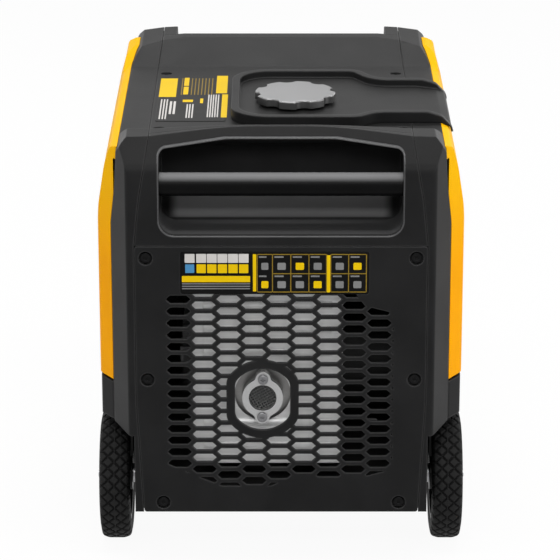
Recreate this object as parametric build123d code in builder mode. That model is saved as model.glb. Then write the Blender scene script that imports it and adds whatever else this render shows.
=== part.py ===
# Portable inverter generator in a closed case, standing on two wheels and two feet.
# Millimetres, +Z up, +Y towards the control end, -Y towards the exhaust end, floor at z = 0.

import math
import os

from build123d import *

os.makedirs("parts", exist_ok=True)

# Body block
body_length = 530.0
end_half_width = 170.0
waist_half_width = 190.0
corner_run = 50.0
skirt_bottom = 66.0
panel_top = 383.0
shoulder_height = 472.0
top_height = 486.0
ridge_height = 512.0
plateau_height = 507.0
arch_edge_height = 503.0
rear_arch_drop = 2.0
front_arch_rise = 2.0
arch_radius = 950.0
arch_edge_x = 145.0
slope_run = 38.0
rear_ramp_run = 49.0
front_ramp_foot = 112.0
front_ramp_run = 62.0
wall = 3.0
seam_gap = 0.6
half_length = body_length / 2
rear_y = -half_length
front_y = half_length
slope_grade = (ridge_height - shoulder_height) / slope_run
ridge_y = rear_y + slope_run
plateau_end_y = front_y - (plateau_height - shoulder_height) / slope_grade

# Seams between the middle pieces and the side frames, right-hand half
seam_bottom_x = 155.0
seam_panel_x = 162.0
seam_bend_height = 200.0
seam_hood_x = 156.5
seam_hood_height = 435.0

# Side skirts and side covers
skirt_half_width = 205.0
skirt_half_length = 212.0
skirt_corner_run = 22.0
skirt_top = 203.0
cover_bottom = 206.0
cover_half_width = 212.0
cover_crown = 6.0
cover_edge_half_width = cover_half_width - cover_crown
cover_half_length = 214.0
cover_bevel_run = 28.0
cover_tip_depth = 16.0
cover_front_top = 497.0
cover_rise_fall = 18.0
cover_wall = 3.0

# Wheels and axle
wheel_radius = 75.0
wheel_width = 36.0
wheel_x = 190.0
axle_setback = 93.0
axle_y = rear_y + axle_setback
axle_radius = 7.0
axle_tip_radius = 4.5
axle_tip_x = 212.0
rim_radius = 54.0
hub_radius = 19.0
well_inner_x = 165.0
well_clearance = 8.0

# Base tray, legs and feet
tray_half_width = 161.6
tray_end_gap = 15.0
tray_half_length = half_length - tray_end_gap
tray_floor_top = 87.0
tray_sheet = 3.0
leg_x = 118.0
leg_y = 205.0
pad_height = 14.0

# Rear grille and exhaust outlet
hex_length = 28.0
hex_flat = 18.0
hex_height = 9.4
hex_column_pitch = 27.9
hex_row_pitch = 14.0
outlet_x = -20.6
outlet_z = 202.4
outlet_hole_radius = 15.5
outlet_ring_radius = 46.5
outlet_ring_half_width = 40.5
outlet_ring_corner = 17.0
outlet_opening_radius = 36.8
outlet_opening_half_width = 30.8
outlet_opening_corner = 14.0
outlet_flange_radius = 23.0
outlet_ear_radius = 8.4
outlet_ear_blend = 6.0
outlet_screw_pitch = 45.0

# Grip recess in the rear hood and its bar
recess_half_width = 134.0
recess_bottom = 395.0
recess_top = 498.0
recess_depth = 75.0
recess_back_y = rear_y + recess_depth
bar_radius = 13.0
bar_setback = 18.0
bar_y = rear_y + bar_setback
bar_z = 449.0
bar_half_length = 150.0

# Handle recess in the front hood and the telescoping handle
tray_recess_half_width = 128.0
tray_recess_bottom = 402.0
tray_recess_depth = 71.0
tray_recess_back_y = front_y - tray_recess_depth
handle_x = 108.0
handle_setback = 29.0
handle_y = front_y - handle_setback
handle_z = 452.0
handle_tube_radius = 10.0
handle_tail_y = -95.0
guide_radius = 12.5
guide_tail_y = -105.0
sleeve_radius = 17.0
sleeve_half_length = 76.0

# Fuel filler
filler_x = 16.4
filler_y = -60.0
cap_radius = 46.3
cap_top = 503.0
cap_bottom = 494.0
cap_notches = 8
cap_notch_start = 56.0
cap_notch_radius = 10.5
cap_notch_offset = 5.2
cap_edge_radius = 1.6
neck_radius = 30.0
neck_bore_radius = 25.0
neck_top = 497.0
basin_rim_height = 499.0
basin_floor_height = 491.0
basin_rim_width = 9.0

# Screws
screw_radius = 3.0
screw_head_radius = 5.6
screw_recess_radius = 7.8
running_gap = 0.3


def face_plane(y):
    # Sketch plane across the body at y, with sketch x along +X and sketch y along +Z, facing -Y.
    return Plane.XZ.offset(-y)


def level_plane(z):
    return Plane.XY.offset(z)


def side_plane(x):
    # Sketch plane along the body at x, with sketch x along +Y and sketch y along +Z, facing +X.
    return Plane.YZ.offset(x)


def seam_points(gap):
    # Outline of the middle pieces seen from the end, moved in by gap at the seams.
    right = [
        (seam_bottom_x - gap, 0.0),
        (seam_bottom_x - gap, skirt_bottom),
        (seam_panel_x - gap, seam_bend_height),
        (seam_panel_x - gap, panel_top),
        (seam_hood_x - gap, seam_hood_height),
        (arch_edge_x - gap, arch_edge_height),
        (arch_edge_x - gap, ridge_height + 40.0),
    ]
    left = [(-x, z) for x, z in reversed(right)]
    return right + left


def seam_prism(gap):
    with BuildPart() as prism:
        with BuildSketch(Plane.XZ):
            with BuildLine():
                Polyline(seam_points(gap), close=True)
            make_face()
        extrude(amount=body_length, both=True)
    return prism.part


def inset_outline(points, radii, inset):
    # Closed outline, drawn anticlockwise, with its corners moved in by inset and its radii to match.
    moved = []
    moved_radii = []
    for index, radius in enumerate(radii):
        before = Vector(*points[index - 1])
        here = Vector(*points[index])
        after = Vector(*points[(index + 1) % len(points)])
        inward_one = (here - before).normalized().rotate(Axis.Z, 90)
        inward_two = (after - here).normalized().rotate(Axis.Z, 90)
        share = inset / (1.0 + inward_one.dot(inward_two))
        corner = here + (inward_one + inward_two) * share
        moved.append((corner.X, corner.Y))
        convex = inward_one.cross(inward_two).Z > 0
        change = -inset if convex else inset
        moved_radii.append(0 if radius == 0 else radius + change)
    return moved, moved_radii


def outline_face(points, radii, inset):
    # Filled outline for the current sketch.
    moved, moved_radii = inset_outline(points, radii, inset)
    with BuildLine() as border:
        FilletPolyline(moved, radius=moved_radii, close=True)
    make_face(border.edges())


def mirrored(right, right_radii):
    # Closed outline from its right-hand half, listed from the bottom up.
    points = right + [(-x, z) for x, z in reversed(right)]
    radii = right_radii + list(reversed(right_radii))
    return points, radii


def end_outline(low, arch_change):
    # Outline of the case seen from one end, with its arch raised by arch_change.
    arch = arch_edge_height + arch_change
    right = [
        (waist_half_width, low),
        (waist_half_width, panel_top + 10.0),
        (waist_half_width - 5.5, top_height - 46.0),
        (waist_half_width - 8.0, top_height - 3.0),
        (end_half_width + 6.0, top_height + 8.0),
        (end_half_width, arch_edge_height - 2.5),
        (arch_edge_x, arch),
    ]
    left = [(-x, z) for x, z in reversed(right)]
    points = right + [(0.0, ridge_height + 4.0)] + left
    radii = [0, 40, 30, 8, 4, 3, 30, arch_radius, 30, 3, 4, 8, 30, 40, 0]
    return points, radii


def body_block(inset, low):
    # Outer form of the case as three crossing profiles, moved in by inset, standing near z = low.
    side_points = [
        (rear_y, low),
        (front_y, low),
        (front_y, shoulder_height),
        (plateau_end_y, plateau_height),
        (front_ramp_foot + front_ramp_run, plateau_height),
        (front_ramp_foot, top_height),
        (ridge_y + rear_ramp_run, top_height),
        (ridge_y, ridge_height),
        (rear_y, shoulder_height),
    ]
    side_radii = [0, 0, 16, 6, 25, 30, 20, 5, 16]
    rear_points, end_radii = end_outline(low, -rear_arch_drop)
    front_points, _ = end_outline(low, front_arch_rise)
    plan_points = [
        (-end_half_width, rear_y),
        (end_half_width, rear_y),
        (waist_half_width, rear_y + corner_run),
        (waist_half_width, front_y - corner_run),
        (end_half_width, front_y),
        (-end_half_width, front_y),
        (-waist_half_width, front_y - corner_run),
        (-waist_half_width, rear_y + corner_run),
    ]
    plan_radii = [6, 6, 25, 25, 6, 6, 25, 25]
    with BuildPart() as block:
        with BuildSketch(Plane.YZ):
            outline_face(side_points, side_radii, inset)
        extrude(amount=body_length, both=True)
        with BuildPart(mode=Mode.PRIVATE) as ends:
            with BuildSketch(Plane.XZ):
                outline_face(rear_points, end_radii, inset)
            extrude(amount=body_length)
            with BuildSketch(Plane.XZ):
                outline_face(front_points, end_radii, inset)
            extrude(amount=-body_length)
        add(ends.part, mode=Mode.INTERSECT)
        with BuildSketch(Plane.XY):
            outline_face(plan_points, plan_radii, inset)
        extrude(amount=body_length * 2, both=True, mode=Mode.INTERSECT)
    return block.part


body_outer = body_block(0.0, skirt_bottom)
body_inner = body_block(wall, skirt_bottom - 4 * wall)
body_shell = body_outer - body_inner
middle_prism = seam_prism(seam_gap / 2)
side_prism = seam_prism(-seam_gap / 2)


def keep_box(x_min, x_max, y_min, y_max, z_min, z_max):
    return Box(
        x_max - x_min,
        y_max - y_min,
        z_max - z_min,
        align=(Align.MIN, Align.MIN, Align.MIN),
        mode=Mode.PRIVATE,
    ).moved(Location((x_min, y_min, z_min)))


# Rear panel: hexagon grille, ring around the exhaust outlet, six screw bosses, label recess
rear_screw_half = [(149.5, 369.0), (149.0, 226.0), (133.0, 77.5)]
rear_screw_spots = rear_screw_half + [(-x, z) for x, z in rear_screw_half]
rear_boss_depth = half_length - tray_half_length - wall - running_gap
label_recess = 0.5
label_x = -7.0
label_z = 352.0
label_width = 208.0
label_height = 49.4
label_gap = 0.3
label_corner = 2.7

hex_points = [
    (-hex_length / 2, 0.0),
    (-hex_flat / 2, -hex_height / 2),
    (hex_flat / 2, -hex_height / 2),
    (hex_length / 2, 0.0),
    (hex_flat / 2, hex_height / 2),
    (-hex_flat / 2, hex_height / 2),
]
hex_origin_x = -86.0
hex_origin_z = 314.0
hex_spots = []
for column in range(-3, 10):
    for row in range(-3, 18):
        stagger = hex_row_pitch / 2 * (column % 2)
        hex_x = hex_origin_x + column * hex_column_pitch
        hex_z = hex_origin_z - row * hex_row_pitch - stagger
        hex_spots.append((hex_x, hex_z))

def flat_sided_round(radius, half_width, corner):
    # Circle cut straight at both sides, with its four corners rounded.
    with BuildSketch(mode=Mode.PRIVATE) as outline:
        Circle(radius)
        Rectangle(2 * half_width, 3 * radius, mode=Mode.INTERSECT)
        fillet(outline.vertices().filter_by(lambda vertex: abs(abs(vertex.X) - half_width) < 0.01), corner)
    return outline.sketch


with BuildPart() as rear_panel:
    with BuildSketch(face_plane(rear_y)):
        with BuildLine():
            FilletPolyline(
                (-seam_bottom_x + seam_gap / 2, skirt_bottom),
                (seam_bottom_x - seam_gap / 2, skirt_bottom),
                (seam_panel_x - seam_gap / 2, seam_bend_height),
                (seam_panel_x - seam_gap / 2, panel_top - seam_gap / 2),
                (-seam_panel_x + seam_gap / 2, panel_top - seam_gap / 2),
                (-seam_panel_x + seam_gap / 2, seam_bend_height),
                radius=[3, 3, 60, 3, 3, 60],
                close=True,
            )
        make_face()
    extrude(amount=-wall)
    with BuildSketch(face_plane(rear_y + wall)):
        with Locations(*rear_screw_spots):
            Circle(screw_recess_radius + 2.2)
    extrude(amount=-rear_boss_depth)
    with BuildSketch(face_plane(rear_y)):
        with Locations(*rear_screw_spots):
            Circle(screw_recess_radius)
    extrude(amount=-5.0, mode=Mode.SUBTRACT)
    with BuildSketch(face_plane(rear_y)):
        with Locations(*rear_screw_spots):
            Circle(screw_radius + 0.2)
    extrude(amount=-40.0, mode=Mode.SUBTRACT)
    with BuildSketch(face_plane(rear_y)):
        with Locations(*hex_spots):
            Polygon(*hex_points, align=None)
        with BuildLine():
            FilletPolyline(
                (-127.0, 327.5),
                (83.0, 327.5),
                (93.0, 313.4),
                (119.7, 306.4),
                (125.2, 297.0),
                (125.2, 126.0),
                (118.6, 115.8),
                (93.2, 108.7),
                (13.6, 108.7),
                (-12.0, 97.5),
                (-66.7, 97.5),
                (-89.6, 107.3),
                (-127.0, 124.0),
                radius=3.0,
                close=True,
            )
        make_face(mode=Mode.INTERSECT)
        with Locations((outlet_x, outlet_z)):
            add(
                flat_sided_round(outlet_ring_radius, outlet_ring_half_width, outlet_ring_corner),
                mode=Mode.SUBTRACT,
            )
    extrude(amount=-wall, mode=Mode.SUBTRACT)
    with BuildSketch(face_plane(rear_y)):
        with Locations((outlet_x, outlet_z)):
            add(flat_sided_round(outlet_opening_radius, outlet_opening_half_width, outlet_opening_corner))
    extrude(amount=-wall, mode=Mode.SUBTRACT)
    with BuildSketch(face_plane(rear_y)):
        with Locations((label_x, label_z)):
            RectangleRounded(label_width + 2 * label_gap, label_height + 2 * label_gap, label_corner + label_gap)
    extrude(amount=-label_recess, mode=Mode.SUBTRACT)
rear_panel.part.label = "rear_panel"
export_step(rear_panel.part, "parts/rear_panel.step")

def grip_pocket(growth):
    # Hand recess of the rear hood, grown outwards for its walls.
    end_points, end_radii = mirrored(
        [
            (recess_half_width, recess_bottom),
            (recess_half_width, recess_top - 9.0),
            (60.0, recess_top),
        ],
        [17, 8, 60],
    )
    side_points = [
        (rear_y - 60.0, recess_bottom - 4.0),
        (rear_y, recess_bottom - 1.0),
        (recess_back_y - 17.0, recess_bottom - 3.0),
        (recess_back_y, recess_bottom + 22.0),
        (recess_back_y, recess_top - 20.0),
        (ridge_y - 15.0, recess_top + 2.0),
        (rear_y - 60.0, recess_top + 26.0),
    ]
    side_radii = [0, 0, 5, 8, 10, 0, 0]
    with BuildPart() as pocket:
        with BuildSketch(Plane.XZ):
            outline_face(end_points, end_radii, -growth)
        extrude(amount=body_length, both=True)
        with BuildSketch(Plane.YZ):
            outline_face(side_points, side_radii, -growth)
        extrude(amount=body_length, both=True, mode=Mode.INTERSECT)
    return pocket.part


def on_end_face(edge, end_y, half_width, low):
    # True for an edge of a hand recess that lies on the end face or on the hood slope above it.
    middle = edge @ 0.5
    depth = abs(end_y - middle.Y)
    slope_height = shoulder_height + slope_grade * depth
    on_face = depth < 0.6 or abs(middle.Z - slope_height) < 2.0
    return on_face and abs(middle.X) < half_width + 0.6 and low - 1.0 < middle.Z < plateau_height - 4.0


pocket_wall = 2.5
lip_radius = 2.2
with BuildPart() as rear_hood:
    add(body_shell)
    add(middle_prism, mode=Mode.INTERSECT)
    add(
        keep_box(-200, 200, rear_y - 5, ridge_y - seam_gap, panel_top + seam_gap / 2, ridge_height + 20),
        mode=Mode.INTERSECT,
    )
    add(grip_pocket(pocket_wall) & body_outer & middle_prism)
    for side in (1, -1):
        with BuildSketch(side_plane(side * recess_half_width)):
            with Locations((bar_y, bar_z)):
                Circle(bar_radius + 3.5)
        extrude(amount=side * (bar_half_length - recess_half_width))
    add(grip_pocket(0.0), mode=Mode.SUBTRACT)
    with BuildSketch(Plane.YZ):
        with Locations((bar_y, bar_z)):
            Circle(bar_radius + running_gap)
    extrude(amount=bar_half_length + 1.0, both=True, mode=Mode.SUBTRACT)
    rear_lip = rear_hood.edges().filter_by(
        lambda edge: on_end_face(edge, rear_y, recess_half_width, recess_bottom)
    )
    fillet(rear_lip, lip_radius)
rear_hood.part.label = "rear_hood"
export_step(rear_hood.part, "parts/rear_hood.step")

with BuildPart() as rear_grip_bar:
    with BuildSketch(Plane.YZ):
        with Locations((bar_y, bar_z)):
            Circle(bar_radius)
            Circle(bar_radius - 2.5, mode=Mode.SUBTRACT)
    extrude(amount=bar_half_length, both=True)
rear_grip_bar.part.label = "rear_grip_bar"
export_step(rear_grip_bar.part, "parts/rear_grip_bar.step")

# Top cover: saddle between the two hoods, with filler hole and four recessed screws
top_screw_spots = [(-137.2, -155.0), (137.2, -155.0), (-137.2, 82.0), (137.2, 82.0)]
top_pocket_radius = 6.8
top_pocket_depth = 4.6
top_head_height = 3.2
top_cover_front_y = tray_recess_back_y - pocket_wall - seam_gap
with BuildPart() as top_cover:
    add(body_shell)
    add(middle_prism, mode=Mode.INTERSECT)
    add(
        keep_box(-200, 200, ridge_y, top_cover_front_y, top_height - 30, ridge_height + 20),
        mode=Mode.INTERSECT,
    )
    with BuildSketch(level_plane(top_height - wall)):
        with Locations(*top_screw_spots):
            Circle(top_pocket_radius + 2.0)
    extrude(amount=-(top_pocket_depth + 3.0))
    with BuildSketch(level_plane(top_height)):
        with Locations(*top_screw_spots):
            Circle(top_pocket_radius)
    extrude(amount=-top_pocket_depth, mode=Mode.SUBTRACT)
    with BuildSketch(level_plane(top_height)):
        with Locations(*top_screw_spots):
            Circle(2.2)
    extrude(amount=-20.0, mode=Mode.SUBTRACT)
    with BuildSketch(level_plane(top_height)):
        with Locations((filler_x, filler_y)):
            Circle(neck_radius + 1.0)
    extrude(amount=-20.0, mode=Mode.SUBTRACT)
top_cover.part.label = "top_cover"
export_step(top_cover.part, "parts/top_cover.step")

with BuildPart() as top_cover_screws:
    with BuildSketch(level_plane(top_height - top_pocket_depth)):
        with Locations(*top_screw_spots):
            Circle(4.6)
    extrude(amount=top_head_height)
    with BuildSketch(level_plane(top_height - top_pocket_depth + top_head_height)):
        with Locations(*top_screw_spots):
            RegularPolygon(2.3, 6)
    extrude(amount=-1.8, mode=Mode.SUBTRACT)
    with BuildSketch(level_plane(top_height - top_pocket_depth)):
        with Locations(*top_screw_spots):
            Circle(2.0)
    extrude(amount=-7.0)
top_cover_screws.part.label = "top_cover_screws"
export_step(top_cover_screws.part, "parts/top_cover_screws.step")

# Bare label plates on the rear panel and on the top cover
with BuildPart() as label_plates:
    with BuildSketch(face_plane(rear_y + label_recess)):
        with Locations((label_x, label_z)):
            RectangleRounded(label_width, label_height, label_corner)
    extrude(amount=label_recess - 0.1)
    with BuildSketch(level_plane(top_height)):
        with Locations((-103.0, -34.0)):
            RectangleRounded(80.0, 184.0, 3.0)
    extrude(amount=0.4)
label_plates.part.label = "label_plates"
export_step(label_plates.part, "parts/label_plates.step")


def handle_pocket(growth):
    # Recess of the front hood, open at the front and at the top.
    end_points, end_radii = mirrored(
        [(tray_recess_half_width, tray_recess_bottom), (tray_recess_half_width, ridge_height + 60.0)],
        [17, 0],
    )
    side_points = [
        (tray_recess_back_y + 14.0, tray_recess_bottom - 3.0),
        (front_y, tray_recess_bottom - 1.0),
        (front_y + 60.0, tray_recess_bottom - 6.0),
        (front_y + 60.0, ridge_height + 60.0),
        (tray_recess_back_y, ridge_height + 60.0),
        (tray_recess_back_y, tray_recess_bottom + 20.0),
    ]
    side_radii = [5, 0, 0, 0, 0, 8]
    with BuildPart() as pocket:
        with BuildSketch(Plane.XZ):
            outline_face(end_points, end_radii, -growth)
        extrude(amount=body_length, both=True)
        with BuildSketch(Plane.YZ):
            outline_face(side_points, side_radii, -growth)
        extrude(amount=body_length, both=True, mode=Mode.INTERSECT)
    return pocket.part


hood_bottom = panel_top + seam_gap / 2
with BuildPart() as front_hood:
    add(body_shell)
    add(middle_prism, mode=Mode.INTERSECT)
    add(
        keep_box(-200, 200, tray_recess_back_y - pocket_wall, front_y + 5, hood_bottom, ridge_height + 20),
        mode=Mode.INTERSECT,
    )
    add(handle_pocket(pocket_wall) & body_outer & middle_prism)
    add(handle_pocket(0.0), mode=Mode.SUBTRACT)
    with BuildSketch(face_plane(tray_recess_back_y + 20.0)):
        with Locations((-handle_x, handle_z), (handle_x, handle_z)):
            Circle(guide_radius + running_gap)
    extrude(amount=40.0, mode=Mode.SUBTRACT)
    front_lip = front_hood.edges().filter_by(
        lambda edge: on_end_face(edge, front_y, tray_recess_half_width, tray_recess_bottom)
    )
    fillet(front_lip, lip_radius)
front_hood.part.label = "front_hood"
export_step(front_hood.part, "parts/front_hood.step")


def skirt_block(inset, low):
    # Skirt bulging out below the side cover, right-hand side.
    with BuildPart() as skirt:
        with BuildSketch(level_plane(low)):
            with BuildLine():
                FilletPolyline(
                    (seam_panel_x, -skirt_half_length + inset),
                    (waist_half_width - inset / 2, -skirt_half_length + inset),
                    (skirt_half_width - inset, -skirt_half_length + skirt_corner_run + inset / 2),
                    (skirt_half_width - inset, skirt_half_length - skirt_corner_run - inset / 2),
                    (waist_half_width - inset / 2, skirt_half_length - inset),
                    (seam_panel_x, skirt_half_length - inset),
                    radius=[0, 6, 10, 10, 6, 0],
                    close=True,
                )
            make_face()
        extrude(amount=skirt_top - inset - low)
    return skirt.part


def wheel_well(growth):
    # Room for a wheel, open to the rear, to the side and below, right-hand side.
    radius = wheel_radius + well_clearance + growth
    with BuildPart() as well:
        with BuildSketch(side_plane(well_inner_x - growth)):
            with Locations((axle_y, wheel_radius)):
                Circle(radius)
            with Locations((axle_y, 0.0)):
                Rectangle(body_length, wheel_radius + radius, align=(Align.MAX, Align.MIN))
                Rectangle(radius, wheel_radius, align=(Align.MIN, Align.MIN))
        extrude(amount=100.0)
    return well.part


cover_screw_spots = [(-160.0, 234.0), (160.0, 234.0), (-160.0, 428.0), (160.0, 428.0)]

with BuildPart() as right_side_frame:
    add(body_outer)
    add(skirt_block(0.0, skirt_bottom))
    add(
        (body_inner + skirt_block(wall, skirt_bottom - 4 * wall)) - wheel_well(wall),
        mode=Mode.SUBTRACT,
    )
    add(wheel_well(0.0), mode=Mode.SUBTRACT)
    add(side_prism, mode=Mode.SUBTRACT)
    add(keep_box(0, 400, -400, 400, 0, 600), mode=Mode.INTERSECT)
    with BuildSketch(side_plane(0)):
        with Locations((axle_y, wheel_radius)):
            Circle(axle_radius + 1.0)
        with Locations(*cover_screw_spots):
            Circle(screw_radius + 0.2)
    extrude(amount=300.0, mode=Mode.SUBTRACT)
right_side_frame.part.label = "right_side_frame"
export_step(right_side_frame.part, "parts/right_side_frame.step")

with BuildPart() as left_side_frame:
    add(right_side_frame.part.mirror(Plane.YZ))
left_side_frame.part.label = "left_side_frame"
export_step(left_side_frame.part, "parts/left_side_frame.step")


def cover_block(inset):
    # Bulged outer form of the yellow side cover, right-hand side.
    bulge_y = cover_half_length - cover_bevel_run
    end_points = [
        (seam_panel_x, cover_bottom),
        (cover_half_width - 1.0, cover_bottom),
        (cover_half_width, 270.0),
        (cover_half_width - 3.0, 350.0),
        (cover_half_width - 7.0, 408.0),
        (cover_half_width - 14.5, 455.0),
        (cover_half_width - 22.0, 481.5),
        (cover_half_width - 31.0, top_height),
        (seam_panel_x, top_height),
    ]
    end_radii = [0, 4, 120, 120, 120, 80, 8, 5, 0]
    tip_x = waist_half_width - cover_tip_depth
    tip_y = bulge_y + cover_bevel_run * (cover_edge_half_width - tip_x) / (cover_edge_half_width - waist_half_width + 2.0)
    plan_points = [
        (seam_panel_x, -tip_y),
        (tip_x, -tip_y),
        (cover_edge_half_width, -bulge_y),
        (cover_half_width, -bulge_y / 2),
        (cover_half_width, bulge_y / 2),
        (cover_edge_half_width, bulge_y),
        (tip_x, tip_y),
        (seam_panel_x, tip_y),
    ]
    crown_turn = math.atan2(cover_crown, bulge_y / 2)
    crown_radius = 0.3 * bulge_y / 2 / math.tan(crown_turn / 2)
    plan_radii = [0, 0, 20, crown_radius, crown_radius, 20, 0, 0]
    rise_points = [
        (seam_panel_x, top_height - 30.0),
        (cover_half_width - 17.0, top_height - 30.0),
        (cover_half_width - 22.0, top_height - 4.5),
        (cover_half_width - 23.5, top_height + 6.0),
        (cover_half_width - 33.5, cover_front_top),
        (seam_panel_x, cover_front_top),
    ]
    rise_radii = [0, 0, 8, 6, 6, 0]
    ramp_points = [
        (front_ramp_foot - 12.0, top_height - 30.0),
        (cover_half_length + cover_rise_fall, top_height - 30.0),
        (cover_half_length, cover_front_top),
        (front_ramp_foot + front_ramp_run, cover_front_top),
        (front_ramp_foot - 4.0, top_height - 4.5),
    ]
    ramp_radii = [0, 0, 0, 20, 4]
    with BuildPart() as block:
        with BuildSketch(Plane.XZ):
            outline_face(end_points, end_radii, inset)
        extrude(amount=body_length, both=True)
        with BuildPart(mode=Mode.PRIVATE) as rise:
            with BuildSketch(Plane.XZ):
                outline_face(rise_points, rise_radii, inset)
            extrude(amount=body_length, both=True)
            with BuildSketch(Plane.YZ):
                outline_face(ramp_points, ramp_radii, inset)
            extrude(amount=body_length, both=True, mode=Mode.INTERSECT)
        add(rise.part)
        with BuildSketch(Plane.XY):
            outline_face(plan_points, plan_radii, inset)
        extrude(amount=body_length * 2, both=True, mode=Mode.INTERSECT)
    return block.part


cover_screw_seat_x = waist_half_width + 4.5
frame_clear = body_block(-running_gap, skirt_bottom)

with BuildPart() as cover_bosses:
    with BuildSketch(side_plane(waist_half_width - 10.0)):
        with Locations(*cover_screw_spots):
            Circle(screw_recess_radius + 2.2)
    extrude(amount=cover_half_width)
    add(cover_block(0.0), mode=Mode.INTERSECT)

with BuildPart() as right_side_cover:
    add(cover_block(0.0))
    add(cover_block(cover_wall) + keep_box(0, waist_half_width - 4, -400, 400, 0, 470), mode=Mode.SUBTRACT)
    add(cover_bosses.part)
    add(frame_clear, mode=Mode.SUBTRACT)
    with BuildSketch(side_plane(cover_screw_seat_x)):
        with Locations(*cover_screw_spots):
            Circle(screw_recess_radius)
    extrude(amount=cover_half_width, mode=Mode.SUBTRACT)
    with BuildSketch(side_plane(cover_screw_seat_x)):
        with Locations(*cover_screw_spots):
            Circle(screw_radius + 0.2)
    extrude(amount=-40.0, mode=Mode.SUBTRACT)
right_side_cover.part.label = "right_side_cover"
export_step(right_side_cover.part, "parts/right_side_cover.step")

with BuildPart() as left_side_cover:
    add(right_side_cover.part.mirror(Plane.YZ))
left_side_cover.part.label = "left_side_cover"
export_step(left_side_cover.part, "parts/left_side_cover.step")

# Front panel: control bay, recoil cup, intake grille, screw bosses
bay_half_width = 132.0
bay_bottom = 178.0
bay_top = 370.0
bay_depth = 32.0
bay_wall = 2.5
bay_z = (bay_bottom + bay_top) / 2
bay_height = bay_top - bay_bottom
cup_x = 122.0
cup_size = 54.0
cup_depth = 36.0
front_screw_spots = rear_screw_spots
intake_spots = []
for column in range(-6, 4):
    for row in range(0, 8):
        stagger = hex_row_pitch / 2 * (column % 2)
        intake_spots.append((column * hex_column_pitch, 96.0 + row * hex_row_pitch + stagger))

# Crank line and recoil starter
crank_y = -45.0
crank_z = 180.0
reel_rope_radius = 52.2
rope_radius = 2.0
rope_z = crank_z - reel_rope_radius

with BuildPart() as front_panel:
    with BuildSketch(face_plane(front_y)):
        with BuildLine():
            FilletPolyline(
                (-seam_bottom_x + seam_gap / 2, skirt_bottom),
                (seam_bottom_x - seam_gap / 2, skirt_bottom),
                (seam_panel_x - seam_gap / 2, seam_bend_height),
                (seam_panel_x - seam_gap / 2, panel_top - seam_gap / 2),
                (-seam_panel_x + seam_gap / 2, panel_top - seam_gap / 2),
                (-seam_panel_x + seam_gap / 2, seam_bend_height),
                radius=[3, 3, 60, 3, 3, 60],
                close=True,
            )
        make_face()
    extrude(amount=wall)
    with BuildSketch(face_plane(front_y - wall)):
        with Locations(*front_screw_spots):
            Circle(screw_recess_radius + 2.2)
    extrude(amount=rear_boss_depth)
    with BuildSketch(face_plane(front_y)):
        with Locations((0.0, bay_z)):
            RectangleRounded(2 * (bay_half_width + bay_wall), bay_height + 2 * bay_wall, 16.0)
    extrude(amount=bay_depth)
    with BuildSketch(face_plane(front_y)):
        with Locations((cup_x, rope_z)):
            RectangleRounded(cup_size + 2 * bay_wall, cup_size + 2 * bay_wall, 14.0)
    extrude(amount=cup_depth)
    with BuildSketch(face_plane(front_y)):
        with Locations((0.0, bay_z)):
            RectangleRounded(2 * bay_half_width, bay_height, 13.5)
    extrude(amount=bay_depth + 1.0, mode=Mode.SUBTRACT)
    with BuildSketch(face_plane(front_y)):
        with Locations((cup_x, rope_z)):
            RectangleRounded(cup_size, cup_size, 11.5)
    extrude(amount=cup_depth - bay_wall, mode=Mode.SUBTRACT)
    with BuildSketch(face_plane(front_y)):
        with Locations((cup_x, rope_z)):
            Circle(rope_radius + 2.0)
        with Locations(*front_screw_spots):
            Circle(screw_radius + 0.2)
    extrude(amount=60.0, mode=Mode.SUBTRACT)
    with BuildSketch(face_plane(front_y)):
        with Locations(*front_screw_spots):
            Circle(screw_recess_radius)
    extrude(amount=5.0, mode=Mode.SUBTRACT)
    with BuildSketch(face_plane(front_y)):
        with Locations(*intake_spots):
            Polygon(*hex_points, align=None)
        with Locations((-30.0, 128.0)):
            RectangleRounded(204.0, 74.0, 10.0, mode=Mode.INTERSECT)
    extrude(amount=wall, mode=Mode.SUBTRACT)
front_panel.part.label = "front_panel"
export_step(front_panel.part, "parts/front_panel.step")


def panel_screw(plane, spots, direction):
    # Socket screws seated 5 mm below the outer face, pointing into the body along direction.
    with BuildPart() as screws:
        with BuildSketch(plane):
            with Locations(*spots):
                Circle(screw_head_radius)
        extrude(amount=-direction * 3.6)
        with BuildSketch(plane.offset(-direction * 3.6)):
            with Locations(*spots):
                RegularPolygon(2.6, 6)
        extrude(amount=direction * 2.0, mode=Mode.SUBTRACT)
        with BuildSketch(plane):
            with Locations(*spots):
                Circle(screw_radius)
        extrude(amount=direction * 9.0)
    return screws.part


with BuildPart() as panel_screws:
    add(panel_screw(face_plane(rear_y + 5.0), rear_screw_spots, -1))
    add(panel_screw(face_plane(front_y - 5.0), front_screw_spots, 1))
    add(panel_screw(side_plane(cover_screw_seat_x), cover_screw_spots, -1))
    add(panel_screw(side_plane(-cover_screw_seat_x), cover_screw_spots, 1))
panel_screws.part.label = "panel_screws"
export_step(panel_screws.part, "parts/panel_screws.step")

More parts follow.
